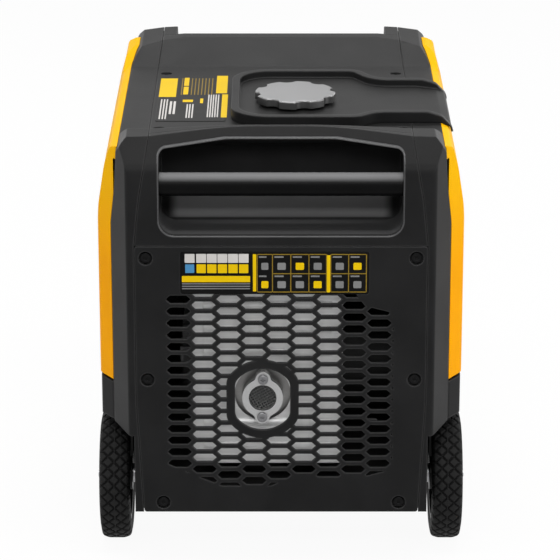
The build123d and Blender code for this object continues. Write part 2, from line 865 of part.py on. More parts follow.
# Base tray, legs and feet
with BuildPart() as base_tray:
    with BuildSketch(level_plane(skirt_bottom)):
        RectangleRounded(2 * tray_half_width, 2 * tray_half_length, 6.0)
    extrude(amount=tray_floor_top - skirt_bottom)
    with BuildSketch(level_plane(skirt_bottom)):
        RectangleRounded(2 * (tray_half_width - tray_sheet), 2 * (tray_half_length - tray_sheet), 4.0)
    extrude(amount=tray_floor_top - skirt_bottom - tray_sheet, mode=Mode.SUBTRACT)
    with BuildSketch(Plane.YZ):
        with Locations((axle_y, wheel_radius)):
            Circle(axle_radius + 0.05)
    extrude(amount=tray_half_width + 5.0, both=True, mode=Mode.SUBTRACT)
    with BuildSketch(level_plane(tray_floor_top)):
        with GridLocations(64.0, 70.0, 4, 2):
            SlotOverall(40.0, 10.0)
    extrude(amount=-tray_sheet, mode=Mode.SUBTRACT)
base_tray.part.label = "base_tray"
export_step(base_tray.part, "parts/base_tray.step")

with BuildPart() as front_legs:
    with BuildSketch(level_plane(tray_floor_top - tray_sheet)):
        with Locations((-leg_x, leg_y), (leg_x, leg_y)):
            RectangleRounded(56.0, 48.0, 8.0)
    extrude(amount=-(tray_floor_top - tray_sheet - pad_height), taper=4.0)
front_legs.part.label = "front_legs"
export_step(front_legs.part, "parts/front_legs.step")

with BuildPart() as foot_pads:
    with BuildSketch(level_plane(0.0)):
        with Locations((-leg_x, leg_y), (leg_x, leg_y)):
            RectangleRounded(50.0, 42.0, 9.0)
    extrude(amount=pad_height)
    chamfer(foot_pads.edges().group_by(Axis.Z)[0], 1.5)
foot_pads.part.label = "foot_pads"
export_step(foot_pads.part, "parts/foot_pads.step")

# Axle, nuts and wheels
hub_inner_x = wheel_x - wheel_width / 2
hub_outer_x = wheel_x + wheel_width / 2 - 9.0
wheel_axis = Axis((0, axle_y, wheel_radius), (1, 0, 0))

with BuildPart() as axle:
    with BuildSketch(Plane.YZ):
        with Locations((axle_y, wheel_radius)):
            Circle(axle_radius)
    extrude(amount=hub_outer_x + running_gap, both=True)
    with BuildSketch(Plane.YZ):
        with Locations((axle_y, wheel_radius)):
            Circle(axle_tip_radius)
    extrude(amount=axle_tip_x, both=True)
    for side in (1, -1):
        with BuildSketch(side_plane(side * (well_inner_x + 0.4))):
            with Locations((axle_y, wheel_radius)):
                Circle(axle_radius + 4.0)
        extrude(amount=side * (hub_inner_x - well_inner_x - 0.4 - running_gap))
axle.part.label = "axle"
export_step(axle.part, "parts/axle.step")

with BuildPart() as axle_nuts:
    for side in (1, -1):
        with BuildSketch(side_plane(side * (hub_outer_x + running_gap))):
            with Locations((axle_y, wheel_radius)):
                Circle(11.0)
        extrude(amount=side * 1.6)
        with BuildSketch(side_plane(side * (hub_outer_x + running_gap + 1.6))):
            with Locations((axle_y, wheel_radius)):
                RegularPolygon(8.0, 6, major_radius=False)
        extrude(amount=side * 7.0)
        with BuildSketch(side_plane(side * hub_outer_x)):
            with Locations((axle_y, wheel_radius)):
                Circle(axle_tip_radius + 0.05)
        extrude(amount=side * 20.0, mode=Mode.SUBTRACT)
axle_nuts.part.label = "axle_nuts"
export_step(axle_nuts.part, "parts/axle_nuts.step")

with BuildPart() as right_rim:
    with BuildSketch(side_plane(hub_inner_x)):
        with Locations((axle_y, wheel_radius)):
            Circle(hub_radius)
    extrude(amount=hub_outer_x - hub_inner_x)
    with BuildSketch(side_plane(wheel_x - 4.0)):
        with Locations((axle_y, wheel_radius)):
            Circle(rim_radius)
            with PolarLocations(33.0, 5):
                Circle(8.5, mode=Mode.SUBTRACT)
    extrude(amount=8.0)
    with BuildSketch(side_plane(hub_inner_x + 2.0)):
        with Locations((axle_y, wheel_radius)):
            Circle(rim_radius)
            Circle(rim_radius - 6.0, mode=Mode.SUBTRACT)
    extrude(amount=wheel_width - 4.0)
    with BuildSketch(side_plane(hub_inner_x)):
        with Locations((axle_y, wheel_radius)):
            Circle(axle_radius + 0.08)
    extrude(amount=wheel_width, mode=Mode.SUBTRACT)
right_rim.part.label = "right_rim"
export_step(right_rim.part, "parts/right_rim.step")

with BuildPart() as left_rim:
    add(right_rim.part.mirror(Plane.YZ))
left_rim.part.label = "left_rim"
export_step(left_rim.part, "parts/left_rim.step")

with BuildPart() as right_tyre:
    with BuildSketch(Plane.XZ.offset(-axle_y)):
        with BuildLine():
            FilletPolyline(
                (hub_inner_x + 2.0, wheel_radius + rim_radius + 0.05),
                (hub_inner_x + wheel_width - 2.0, wheel_radius + rim_radius + 0.05),
                (hub_inner_x + wheel_width, wheel_radius + rim_radius + 8.0),
                (hub_inner_x + wheel_width - 2.0, 2 * wheel_radius - 2.5),
                (wheel_x + 9.0, 2 * wheel_radius),
                (wheel_x - 9.0, 2 * wheel_radius),
                (hub_inner_x + 2.0, 2 * wheel_radius - 2.5),
                (hub_inner_x, wheel_radius + rim_radius + 8.0),
                radius=[1, 1, 8, 4, 20, 20, 4, 8],
                close=True,
            )
        make_face()
    revolve(axis=wheel_axis)
right_tyre.part.label = "right_tyre"
export_step(right_tyre.part, "parts/right_tyre.step")

with BuildPart() as left_tyre:
    add(right_tyre.part.mirror(Plane.YZ))
left_tyre.part.label = "left_tyre"
export_step(left_tyre.part, "parts/left_tyre.step")

# Drip tray around the filler, with a spout over the right-hand side
spout_end_x = 215.0
basin_left_x = -57.0
basin_front_y = 54.0
basin_rear_y = -152.0
spout_front_y = 14.5
spout_rear_y = -133.0


def basin_outline(end_x):
    return [
        (basin_left_x, basin_rear_y),
        (88.0, basin_rear_y),
        (108.0, spout_rear_y),
        (end_x, spout_rear_y),
        (end_x, spout_front_y),
        (112.0, spout_front_y),
        (90.0, basin_front_y),
        (basin_left_x, basin_front_y),
    ]


basin_radii = [45, 22, 26, 0, 0, 26, 22, 45]
tray_seat = top_height + 0.4
with BuildPart() as drip_tray:
    with BuildSketch(level_plane(tray_seat - 40.0)):
        outline_face(basin_outline(spout_end_x), basin_radii, 0.0)
    extrude(amount=80.0)
    with BuildSketch(Plane.XZ):
        with BuildLine():
            FilletPolyline(
                (basin_left_x - 20.0, tray_seat),
                (cover_half_width - 30.6, tray_seat),
                (cover_half_width - 21.0, tray_seat - 4.2),
                (cover_half_width - 19.2, tray_seat - 10.6),
                (cover_half_width - 17.0, tray_seat - 10.0),
                (cover_half_width - 18.6, tray_seat - 4.6),
                (cover_half_width - 30.0, basin_rim_height - 5.0),
                (cover_half_width - 46.0, basin_rim_height),
                (basin_left_x - 20.0, basin_rim_height),
                radius=[0, 0, 4, 0.4, 0.4, 8, 12, 20, 0],
                close=True,
            )
        make_face()
    extrude(amount=body_length, both=True, mode=Mode.INTERSECT)
    with BuildPart(mode=Mode.PRIVATE) as basin:
        with BuildSketch(level_plane(tray_seat - 40.0)):
            outline_face(basin_outline(spout_end_x + 40.0), basin_radii, basin_rim_width)
        extrude(amount=80.0)
        with BuildSketch(Plane.XZ):
            with BuildLine():
                Polyline(
                    (basin_left_x - 20.0, basin_floor_height),
                    (cover_half_width - 54.0, basin_floor_height),
                    (cover_half_width - 30.0, tray_seat + 1.8),
                    (cover_half_width - 20.0, tray_seat - 2.6),
                    (cover_half_width - 14.0, tray_seat - 24.0),
                    (cover_half_width + 30.0, tray_seat - 24.0),
                    (cover_half_width + 30.0, tray_seat + 60.0),
                    (basin_left_x - 20.0, tray_seat + 60.0),
                    close=True,
                )
            make_face()
        extrude(amount=body_length, both=True, mode=Mode.INTERSECT)
    add(basin.part, mode=Mode.SUBTRACT)
    with BuildSketch(level_plane(tray_seat - 40.0)):
        with Locations((filler_x, filler_y)):
            Circle(neck_radius + 0.5)
    extrude(amount=80.0, mode=Mode.SUBTRACT)
drip_tray.part.label = "drip_tray"
export_step(drip_tray.part, "parts/drip_tray.step")

# Fuel tank with filler neck, cap and cap gasket
tank_half_width = 90.0
tank_rear_y = -176.0
tank_front_y = 150.0
tank_bottom = 396.0
tank_top = 478.0
tank_wall = 2.5
tank_y = (tank_rear_y + tank_front_y) / 2
tank_length = tank_front_y - tank_rear_y
with BuildPart() as fuel_tank:
    with BuildSketch(level_plane(tank_bottom)):
        with Locations((0.0, tank_y)):
            RectangleRounded(2 * tank_half_width, tank_length, 22.0)
    extrude(amount=tank_top - tank_bottom)
    with BuildSketch(level_plane(tank_top - 4.0)):
        with Locations((filler_x, filler_y)):
            Circle(neck_radius)
    extrude(amount=neck_top - tank_top + 4.0)
    with BuildSketch(level_plane(tank_bottom + tank_wall)):
        with Locations((0.0, tank_y)):
            RectangleRounded(2 * (tank_half_width - tank_wall), tank_length - 2 * tank_wall, 19.5)
    extrude(amount=tank_top - tank_bottom - 2 * tank_wall, mode=Mode.SUBTRACT)
    with BuildSketch(level_plane(tank_top - 10.0)):
        with Locations((filler_x, filler_y)):
            Circle(neck_bore_radius)
    extrude(amount=60.0, mode=Mode.SUBTRACT)
fuel_tank.part.label = "fuel_tank"
export_step(fuel_tank.part, "parts/fuel_tank.step")

gasket_height = 1.5
with BuildPart() as cap_gasket:
    with BuildSketch(level_plane(neck_top)):
        with Locations((filler_x, filler_y)):
            Circle(neck_radius + 1.0)
            Circle(neck_bore_radius, mode=Mode.SUBTRACT)
    extrude(amount=gasket_height)
cap_gasket.part.label = "cap_gasket"
export_step(cap_gasket.part, "parts/cap_gasket.step")

cap_pocket_top = neck_top + gasket_height + running_gap
with BuildPart() as fuel_cap:
    with BuildSketch(level_plane(cap_bottom)):
        with Locations((filler_x, filler_y)):
            Circle(cap_radius)
            with PolarLocations(cap_radius + cap_notch_offset, cap_notches, start_angle=cap_notch_start):
                Circle(cap_notch_radius, mode=Mode.SUBTRACT)
    extrude(amount=cap_top - cap_bottom)
    fillet(fuel_cap.edges().group_by(Axis.Z)[-1], cap_edge_radius)
    with BuildSketch(level_plane(cap_bottom)):
        with Locations((filler_x, filler_y)):
            Circle(neck_radius + 3.0)
    extrude(amount=cap_pocket_top - cap_bottom, mode=Mode.SUBTRACT)
fuel_cap.part.label = "fuel_cap"
export_step(fuel_cap.part, "parts/fuel_cap.step")

# Telescoping pull handle
with BuildPart() as handle_guides:
    with BuildSketch(face_plane(tray_recess_back_y - 0.4)):
        with Locations((-handle_x, handle_z), (handle_x, handle_z)):
            Circle(guide_radius)
            Circle(handle_tube_radius + running_gap, mode=Mode.SUBTRACT)
    extrude(amount=tray_recess_back_y - 0.4 - guide_tail_y)
handle_guides.part.label = "handle_guides"
export_step(handle_guides.part, "parts/handle_guides.step")

with BuildPart() as pull_handle:
    with BuildLine(level_plane(handle_z)) as handle_path:
        FilletPolyline(
            (-handle_x, handle_tail_y),
            (-handle_x, handle_y),
            (handle_x, handle_y),
            (handle_x, handle_tail_y),
            radius=24.0,
        )
    with BuildSketch(Plane(origin=handle_path.line @ 0, z_dir=handle_path.line % 0)):
        Circle(handle_tube_radius)
        Circle(handle_tube_radius - 2.0, mode=Mode.SUBTRACT)
    sweep()
pull_handle.part.label = "pull_handle"
export_step(pull_handle.part, "parts/pull_handle.step")

button_length = 24.0
button_width = 12.0
button_travel = 3.0
with BuildPart() as handle_sleeve:
    with BuildSketch(Plane.YZ):
        with Locations((handle_y, handle_z)):
            Circle(sleeve_radius)
    extrude(amount=sleeve_half_length, both=True)
    fillet(handle_sleeve.edges().filter_by(GeomType.CIRCLE), 3.0)
    with BuildSketch(Plane.YZ):
        with Locations((handle_y, handle_z)):
            Circle(handle_tube_radius + 0.05)
    extrude(amount=sleeve_half_length + 1.0, both=True, mode=Mode.SUBTRACT)
    with BuildSketch(level_plane(handle_z + 12.0)):
        with Locations((0.0, handle_y)):
            RectangleRounded(button_length + 2 * running_gap, button_width + 2 * running_gap, 3.3)
    extrude(amount=20.0, mode=Mode.SUBTRACT)
handle_sleeve.part.label = "handle_sleeve"
export_step(handle_sleeve.part, "parts/handle_sleeve.step")

with BuildPart() as handle_button:
    with BuildSketch(level_plane(handle_z + 12.3 + button_travel)):
        with Locations((0.0, handle_y)):
            RectangleRounded(button_length, button_width, 3.0)
    extrude(amount=5.0)
    fillet(handle_button.edges().group_by(Axis.Z)[-1], 1.0)
handle_button.part.label = "handle_button"
export_step(handle_button.part, "parts/handle_button.step")

# Muffler with outlet pipe and header, heat shield, outlet flange, spark screen
muffler_x = -15.0
muffler_width = 164.0
muffler_bottom = 124.0
muffler_top = 342.0
muffler_setback = 29.0
muffler_depth = 70.0
muffler_rear_y = rear_y + muffler_setback
muffler_front_y = muffler_rear_y + muffler_depth
muffler_sheet = 3.0
muffler_z = (muffler_bottom + muffler_top) / 2
cylinder_x = -25.0
cylinder_fin_half = 55.0
header_z = 300.0
header_front_y = crank_y - cylinder_fin_half - running_gap
flange_setback = 4.0
flange_thickness = 6.0
screen_thickness = 1.4
flange_rear_y = rear_y + flange_setback
screen_rear_y = flange_rear_y + flange_thickness
pipe_rear_y = screen_rear_y + screen_thickness
flange_tilt = 1.2
ear_x = outlet_screw_pitch / 2 * math.sin(math.radians(flange_tilt))
ear_z = outlet_screw_pitch / 2 * math.cos(math.radians(flange_tilt))
ear_spots = [(outlet_x + ear_x, outlet_z + ear_z), (outlet_x - ear_x, outlet_z - ear_z)]


def on_flange_corner(vertex):
    # True where an ear meets the round of the outlet flange.
    reach = math.hypot(vertex.X - outlet_x, vertex.Y - outlet_z)
    ear_reach = min(math.hypot(vertex.X - x, vertex.Y - z) for x, z in ear_spots)
    return abs(reach - outlet_flange_radius) < 0.01 and abs(ear_reach - outlet_ear_radius) < 0.01


def outlet_face(plane):
    # Two-ear flange outline around the outlet hole.
    with BuildSketch(plane) as outline:
        with Locations((outlet_x, outlet_z)):
            Circle(outlet_flange_radius)
        with Locations(*ear_spots):
            Circle(outlet_ear_radius)
        fillet(outline.vertices().filter_by(on_flange_corner), outlet_ear_blend)
        with Locations((outlet_x, outlet_z)):
            Circle(outlet_hole_radius, mode=Mode.SUBTRACT)
        with Locations(*ear_spots):
            Circle(2.7, mode=Mode.SUBTRACT)
    return outline.sketch


with BuildPart() as muffler:
    with BuildSketch(face_plane(muffler_rear_y)):
        with Locations((muffler_x, muffler_z)):
            RectangleRounded(muffler_width, muffler_top - muffler_bottom, 14.0)
    extrude(amount=-(muffler_front_y - muffler_rear_y))
    fillet(muffler.edges().group_by(Axis.Y)[0], 6.0)
    with BuildSketch(face_plane(pipe_rear_y)):
        with Locations((outlet_x, outlet_z)):
            Circle(19.5)
    extrude(amount=-(muffler_rear_y - pipe_rear_y) - 4.0)
    extrude(outlet_face(face_plane(pipe_rear_y)), amount=-5.0)
    with BuildSketch(face_plane(muffler_front_y)):
        with Locations((cylinder_x, header_z)):
            Circle(14.0)
    extrude(amount=-(header_front_y - muffler_front_y))
    with BuildSketch(face_plane(muffler_rear_y + muffler_sheet)):
        with Locations((muffler_x, muffler_z)):
            RectangleRounded(
                muffler_width - 2 * muffler_sheet,
                muffler_top - muffler_bottom - 2 * muffler_sheet,
                14.0 - muffler_sheet,
            )
    extrude(amount=-(muffler_front_y - muffler_rear_y - 2 * muffler_sheet), mode=Mode.SUBTRACT)
    with BuildSketch(face_plane(pipe_rear_y)):
        with Locations((outlet_x, outlet_z)):
            Circle(outlet_hole_radius)
    extrude(amount=-(muffler_rear_y + 2 * muffler_sheet - pipe_rear_y), mode=Mode.SUBTRACT)
    with BuildSketch(face_plane(header_front_y)):
        with Locations((cylinder_x, header_z)):
            Circle(14.0 - muffler_sheet)
    extrude(amount=header_front_y - muffler_front_y + 2 * muffler_sheet, mode=Mode.SUBTRACT)
muffler.part.label = "muffler"
export_step(muffler.part, "parts/muffler.step")

shield_sheet = 1.5
shield_stand = 10.0
shield_rear_y = muffler_rear_y - shield_stand
shield_width = muffler_width + 1.0 + 2 * shield_sheet
shield_bottom = 118.0
shield_top = 346.0
shield_z = (shield_bottom + shield_top) / 2
shield_rib_heights = [140.0, 168.0, 252.0, 280.0, 308.0]
with BuildPart() as muffler_shield:
    with BuildSketch(face_plane(shield_rear_y)):
        with Locations((muffler_x, shield_z)):
            Rectangle(shield_width, shield_top - shield_bottom)
    extrude(amount=-24.0)
    with BuildSketch(face_plane(shield_rear_y + shield_sheet)):
        with Locations((muffler_x, shield_z)):
            Rectangle(shield_width - 2 * shield_sheet, shield_top - shield_bottom + 10.0)
    extrude(amount=-40.0, mode=Mode.SUBTRACT)
    for rib_height in shield_rib_heights:
        with BuildSketch(side_plane(muffler_x)):
            with Locations((shield_rear_y + shield_sheet, rib_height)):
                Ellipse(4.0, 5.0)
                with Locations((0.0, -10.0)):
                    Rectangle(30.0, 40.0, align=(Align.MIN, Align.MIN), mode=Mode.SUBTRACT)
        extrude(amount=shield_width / 2 - 12.0, both=True)
    with BuildSketch(face_plane(rear_y)):
        with Locations((outlet_x, outlet_z)):
            Circle(31.5)
    extrude(amount=-50.0, mode=Mode.SUBTRACT)
muffler_shield.part.label = "muffler_shield"
export_step(muffler_shield.part, "parts/muffler_shield.step")

with BuildPart() as exhaust_flange:
    extrude(outlet_face(face_plane(flange_rear_y)), amount=-(screen_rear_y - flange_rear_y))
exhaust_flange.part.label = "exhaust_flange"
export_step(exhaust_flange.part, "parts/exhaust_flange.step")

with BuildPart() as spark_screen:
    with BuildSketch(face_plane(screen_rear_y)):
        with Locations((outlet_x, outlet_z)):
            Circle(18.5)
            with GridLocations(3.0, 3.0, 9, 9):
                Rectangle(2.0, 2.0, mode=Mode.SUBTRACT)
    extrude(amount=-(pipe_rear_y - screen_rear_y))
spark_screen.part.label = "spark_screen"
export_step(spark_screen.part, "parts/spark_screen.step")

with BuildPart() as flange_screws:
    with BuildSketch(face_plane(flange_rear_y)):
        with Locations(*ear_spots):
            Circle(5.6)
    extrude(amount=3.4)
    fillet(flange_screws.edges().group_by(Axis.Y)[0], 1.2)
    with BuildSketch(face_plane(flange_rear_y - 3.4)):
        with Locations(*ear_spots):
            Rectangle(1.2, 5.0)
            Rectangle(5.0, 1.2)
    extrude(amount=-1.6, mode=Mode.SUBTRACT)
    with BuildSketch(face_plane(flange_rear_y)):
        with Locations(*ear_spots):
            Circle(2.5)
    extrude(amount=-12.0)
flange_screws.part.label = "flange_screws"
export_step(flange_screws.part, "parts/flange_screws.step")

# Engine
crankcase_left_x = -86.0
crankcase_right_x = 32.0
crankcase_bottom = 107.0
crankcase_top = 245.0
crankcase_half_length = 65.0
shaft_radius = 15.0
crankcase_width = crankcase_right_x - crankcase_left_x
mount_spots = [(-70.0, -95.0), (16.0, -95.0), (-70.0, 5.0), (16.0, 5.0)]

with BuildPart() as engine_mounts:
    with BuildSketch(level_plane(tray_floor_top)):
        with Locations(*mount_spots):
            Circle(14.0)
    extrude(amount=crankcase_bottom - tray_floor_top)
engine_mounts.part.label = "engine_mounts"
export_step(engine_mounts.part, "parts/engine_mounts.step")

with BuildPart() as crankcase:
    with BuildSketch(side_plane(crankcase_left_x)):
        with Locations((crank_y, (crankcase_bottom + crankcase_top) / 2)):
            RectangleRounded(2 * crankcase_half_length, crankcase_top - crankcase_bottom, 16.0)
    extrude(amount=crankcase_width)
    with BuildSketch(side_plane(crankcase_right_x)):
        with Locations((crank_y, crank_z)):
            Circle(shaft_radius + 0.08)
    extrude(amount=-32.0, mode=Mode.SUBTRACT)
crankcase.part.label = "crankcase"
export_step(crankcase.part, "parts/crankcase.step")

cylinder_top = 362.0
fin_pitch = 10.0
fin_count = 11
with BuildPart() as cylinder:
    with BuildSketch(level_plane(crankcase_top)):
        with Locations((cylinder_x, crank_y)):
            RectangleRounded(82.0, 82.0, 20.0)
    extrude(amount=cylinder_top - crankcase_top)
    for fin in range(fin_count):
        with BuildSketch(level_plane(crankcase_top + 7.0 + fin * fin_pitch)):
            with Locations((cylinder_x, crank_y)):
                RectangleRounded(2 * cylinder_fin_half, 2 * cylinder_fin_half, 14.0)
        extrude(amount=3.0)
cylinder.part.label = "cylinder"
export_step(cylinder.part, "parts/cylinder.step")

with BuildPart() as valve_cover:
    with BuildSketch(level_plane(cylinder_top)):
        with Locations((cylinder_x, crank_y)):
            RectangleRounded(84.0, 92.0, 16.0)
    extrude(amount=26.0)
    fillet(valve_cover.edges().group_by(Axis.Z)[-1], 8.0)
valve_cover.part.label = "valve_cover"
export_step(valve_cover.part, "parts/valve_cover.step")

intake_rear_y = crank_y + cylinder_fin_half + running_gap
filter_rear_y = 58.0
with BuildPart() as carburettor:
    with BuildSketch(face_plane(intake_rear_y)):
        with Locations((cylinder_x, header_z)):
            Circle(13.0)
    extrude(amount=-(filter_rear_y - intake_rear_y - running_gap))
    with BuildSketch(face_plane(intake_rear_y + 14.0)):
        with Locations((cylinder_x, header_z - 6.0)):
            RectangleRounded(40.0, 48.0, 6.0)
    extrude(amount=-22.0)
carburettor.part.label = "carburettor"
export_step(carburettor.part, "parts/carburettor.step")

with BuildPart() as air_filter_box:
    with BuildSketch(face_plane(filter_rear_y)):
        with Locations((cylinder_x, 310.0)):
            RectangleRounded(130.0, 128.0, 14.0)
    extrude(amount=-72.0)
    fillet(air_filter_box.edges().group_by(Axis.Y)[-1], 8.0)
air_filter_box.part.label = "air_filter_box"
export_step(air_filter_box.part, "parts/air_filter_box.step")

# Crankshaft, flywheel rotor with fan, stator and shroud with recoil housing
rotor_radius = 80.0
rotor_bore_radius = 62.0
rotor_left_x = crankcase_right_x + 9.0
rotor_web_x = crankcase_right_x + 48.0
rotor_right_x = rotor_web_x + 7.0
blade_height = 9.0
blade_count = 14
shroud_radius = 89.0
shroud_wall = 3.0
shroud_right_x = 102.0
recoil_radius = 75.0
recoil_right_x = 141.0
reel_left_x = cup_x - 11.0
reel_right_x = cup_x + 11.0
reel_flange_radius = 58.0
post_radius = 9.0

with BuildPart() as crankshaft:
    with BuildSketch(side_plane(crankcase_right_x - 30.0)):
        with Locations((crank_y, crank_z)):
            Circle(shaft_radius)
    extrude(amount=rotor_right_x + 4.0 - crankcase_right_x + 30.0)
crankshaft.part.label = "crankshaft"
export_step(crankshaft.part, "parts/crankshaft.step")

with BuildPart() as flywheel_rotor:
    with BuildSketch(side_plane(rotor_left_x)):
        with Locations((crank_y, crank_z)):
            Circle(rotor_radius)
            Circle(rotor_bore_radius, mode=Mode.SUBTRACT)
    extrude(amount=rotor_web_x - rotor_left_x)
    with BuildSketch(side_plane(rotor_web_x)):
        with Locations((crank_y, crank_z)):
            Circle(rotor_radius)
    extrude(amount=rotor_right_x - rotor_web_x)
    with BuildSketch(side_plane(rotor_right_x)):
        with Locations((crank_y, crank_z)):
            with PolarLocations(62.0, blade_count):
                Rectangle(28.0, 3.0)
    extrude(amount=blade_height)
    with BuildSketch(side_plane(rotor_left_x)):
        with Locations((crank_y, crank_z)):
            Circle(shaft_radius + 0.05)
    extrude(amount=80.0, mode=Mode.SUBTRACT)
flywheel_rotor.part.label = "flywheel_rotor"
export_step(flywheel_rotor.part, "parts/flywheel_rotor.step")

with BuildPart() as stator:
    with BuildSketch(side_plane(crankcase_right_x)):
        with Locations((crank_y, crank_z)):
            Circle(40.0)
            Circle(30.0, mode=Mode.SUBTRACT)
    extrude(amount=12.0)
    with BuildSketch(side_plane(crankcase_right_x + 12.0)):
        with Locations((crank_y, crank_z)):
            Circle(60.0)
            Circle(30.0, mode=Mode.SUBTRACT)
            with PolarLocations(52.0, 12):
                Rectangle(18.0, 5.0, mode=Mode.SUBTRACT)
    extrude(amount=32.0)
stator.part.label = "stator"
export_step(stator.part, "parts/stator.step")

with BuildPart() as fan_shroud:
    with BuildSketch(side_plane(crankcase_right_x + running_gap)):
        with Locations((crank_y, crank_z)):
            Circle(shroud_radius)
            Circle(44.0, mode=Mode.SUBTRACT)
    extrude(amount=shroud_wall)
    with BuildSketch(side_plane(crankcase_right_x + running_gap)):
        with Locations((crank_y, crank_z)):
            Circle(shroud_radius)
            Circle(shroud_radius - shroud_wall, mode=Mode.SUBTRACT)
    extrude(amount=shroud_right_x - crankcase_right_x - running_gap)
    with BuildSketch(side_plane(shroud_right_x - shroud_wall)):
        with Locations((crank_y, crank_z)):
            Circle(shroud_radius)
            Circle(50.0, mode=Mode.SUBTRACT)
            with PolarLocations(61.0, 10):
                Circle(7.0, mode=Mode.SUBTRACT)
    extrude(amount=shroud_wall)
    with BuildSketch(side_plane(shroud_right_x)):
        with Locations((crank_y, crank_z)):
            Circle(recoil_radius)
            Circle(recoil_radius - shroud_wall, mode=Mode.SUBTRACT)
    extrude(amount=recoil_right_x - shroud_right_x)
    with BuildSketch(side_plane(recoil_right_x - shroud_wall)):
        with Locations((crank_y, crank_z)):
            Circle(recoil_radius)
    extrude(amount=shroud_wall)
    with BuildSketch(side_plane(reel_left_x - 2.0)):
        with Locations((crank_y, crank_z)):
            Circle(post_radius)
    extrude(amount=recoil_right_x - reel_left_x)
    with BuildSketch(face_plane(crank_y)):
        with Locations((cup_x, rope_z)):
            Circle(rope_radius + 3.0)
    extrude(amount=-120.0, mode=Mode.SUBTRACT)
fan_shroud.part.label = "fan_shroud"
export_step(fan_shroud.part, "parts/fan_shroud.step")

with BuildPart() as recoil_reel:
    with BuildSketch(side_plane(reel_left_x)):
        with Locations((crank_y, crank_z)):
            Circle(reel_flange_radius)
    extrude(amount=reel_right_x - reel_left_x)
    with BuildSketch(side_plane(reel_left_x + 3.0)):
        with Locations((crank_y, crank_z)):
            Circle(reel_flange_radius + 1.0)
            Circle(reel_rope_radius - rope_radius - 0.2, mode=Mode.SUBTRACT)
    extrude(amount=reel_right_x - reel_left_x - 6.0, mode=Mode.SUBTRACT)
    with BuildSketch(side_plane(reel_left_x)):
        with Locations((crank_y, crank_z)):
            Circle(post_radius + 0.08)
            with PolarLocations(30.0, 6):
                Circle(8.0)
    extrude(amount=40.0, mode=Mode.SUBTRACT)
recoil_reel.part.label = "recoil_reel"
export_step(recoil_reel.part, "parts/recoil_reel.step")

grip_back_y = front_y - 32.0
grip_depth = 27.0
with BuildPart() as recoil_rope:
    with BuildSketch(face_plane(crank_y)):
        with Locations((cup_x, rope_z)):
            Circle(rope_radius)
    extrude(amount=-(grip_back_y - crank_y))
recoil_rope.part.label = "recoil_rope"
export_step(recoil_rope.part, "parts/recoil_rope.step")

with BuildPart() as recoil_grip:
    with BuildSketch(face_plane(grip_back_y)):
        with Locations((cup_x, rope_z)):
            RectangleRounded(16.0, 14.0, 4.0)
    extrude(amount=-12.0)
    with BuildSketch(face_plane(grip_back_y + 10.0)):
        with Locations((cup_x, rope_z)):
            RectangleRounded(18.0, 46.0, 8.0)
    extrude(amount=-(grip_depth - 10.0))
    fillet(recoil_grip.edges().group_by(Axis.Y)[-1], 5.0)
recoil_grip.part.label = "recoil_grip"
export_step(recoil_grip.part, "parts/recoil_grip.step")

# Inverter module on the tray
with BuildPart() as inverter_module:
    with BuildSketch(level_plane(tray_floor_top)):
        with Locations((-30.0, 152.0)):
            RectangleRounded(190.0, 118.0, 5.0)
    extrude(amount=46.0)
    with BuildSketch(level_plane(tray_floor_top + 46.0)):
        with Locations((-30.0, 152.0)):
            with GridLocations(0.0, 8.0, 1, 14):
                Rectangle(184.0, 3.0)
    extrude(amount=22.0)
inverter_module.part.label = "inverter_module"
export_step(inverter_module.part, "parts/inverter_module.step")

# Control plate and controls
plate_y = front_y - bay_depth
plate_front_y = plate_y + wall
display_spot = (84.0, 334.0)
knob_spot = (84.0, 258.0)
start_spot = (22.0, 258.0)
eco_spot = (22.0, 334.0)
socket_spots = [(-40.0, 298.0), (-102.0, 298.0)]
breaker_spots = [(-40.0, 230.0), (-102.0, 230.0)]
ground_spot = (104.0, 202.0)
socket_body_radius = 23.0
socket_well_radius = 19.5
socket_well_depth = 15.0
socket_flange = 52.0
lid_hinge_rise = 31.0
lid_hinge_y = plate_front_y + 6.8
lid_knuckle_radius = 3.0
lid_pin_radius = 1.2
breaker_radius = 6.5
start_radius = 11.0
knob_radius = 23.0
rocker_half_width = 8.7
rocker_half_height = 12.5
rocker_tilt = 8.0

with BuildPart() as control_plate:
    with BuildSketch(face_plane(plate_front_y)):
        with Locations((0.0, bay_z)):
            RectangleRounded(2 * bay_half_width - 0.8, bay_height - 0.8, 13.0)
    extrude(amount=wall)
    with BuildSketch(face_plane(plate_front_y)):
        with Locations(start_spot):
            Circle(start_radius + 5.0)
        with Locations(eco_spot):
            RectangleRounded(2 * rocker_half_width + 9.0, 2 * rocker_half_height + 11.0, 3.0)
        with Locations(*breaker_spots):
            Circle(breaker_radius + 3.5)
    extrude(amount=-2.0)
    with BuildSketch(face_plane(plate_front_y + 5.0)):
        with Locations(start_spot):
            Circle(start_radius + running_gap)
        with Locations(eco_spot):
            Rectangle(2 * rocker_half_width + 2 * running_gap, 2 * rocker_half_height + 2.8)
        with Locations(*breaker_spots):
            Circle(breaker_radius + running_gap)
        with Locations(*socket_spots):
            Circle(socket_body_radius + running_gap)
        with Locations(knob_spot):
            Circle(5.1)
        with Locations(ground_spot):
            Circle(3.1)
    extrude(amount=20.0, mode=Mode.SUBTRACT)
control_plate.part.label = "control_plate"
export_step(control_plate.part, "parts/control_plate.step")

with BuildPart() as display:
    with BuildSketch(face_plane(plate_front_y)):
        with Locations(display_spot):
            RectangleRounded(78.0, 46.0, 5.0)
    extrude(amount=-4.0)
    with BuildSketch(face_plane(plate_front_y + 4.0)):
        with Locations(display_spot):
            RectangleRounded(64.0, 32.0, 2.0)
    extrude(amount=1.0, mode=Mode.SUBTRACT)
display.part.label = "display"
export_step(display.part, "parts/display.step")

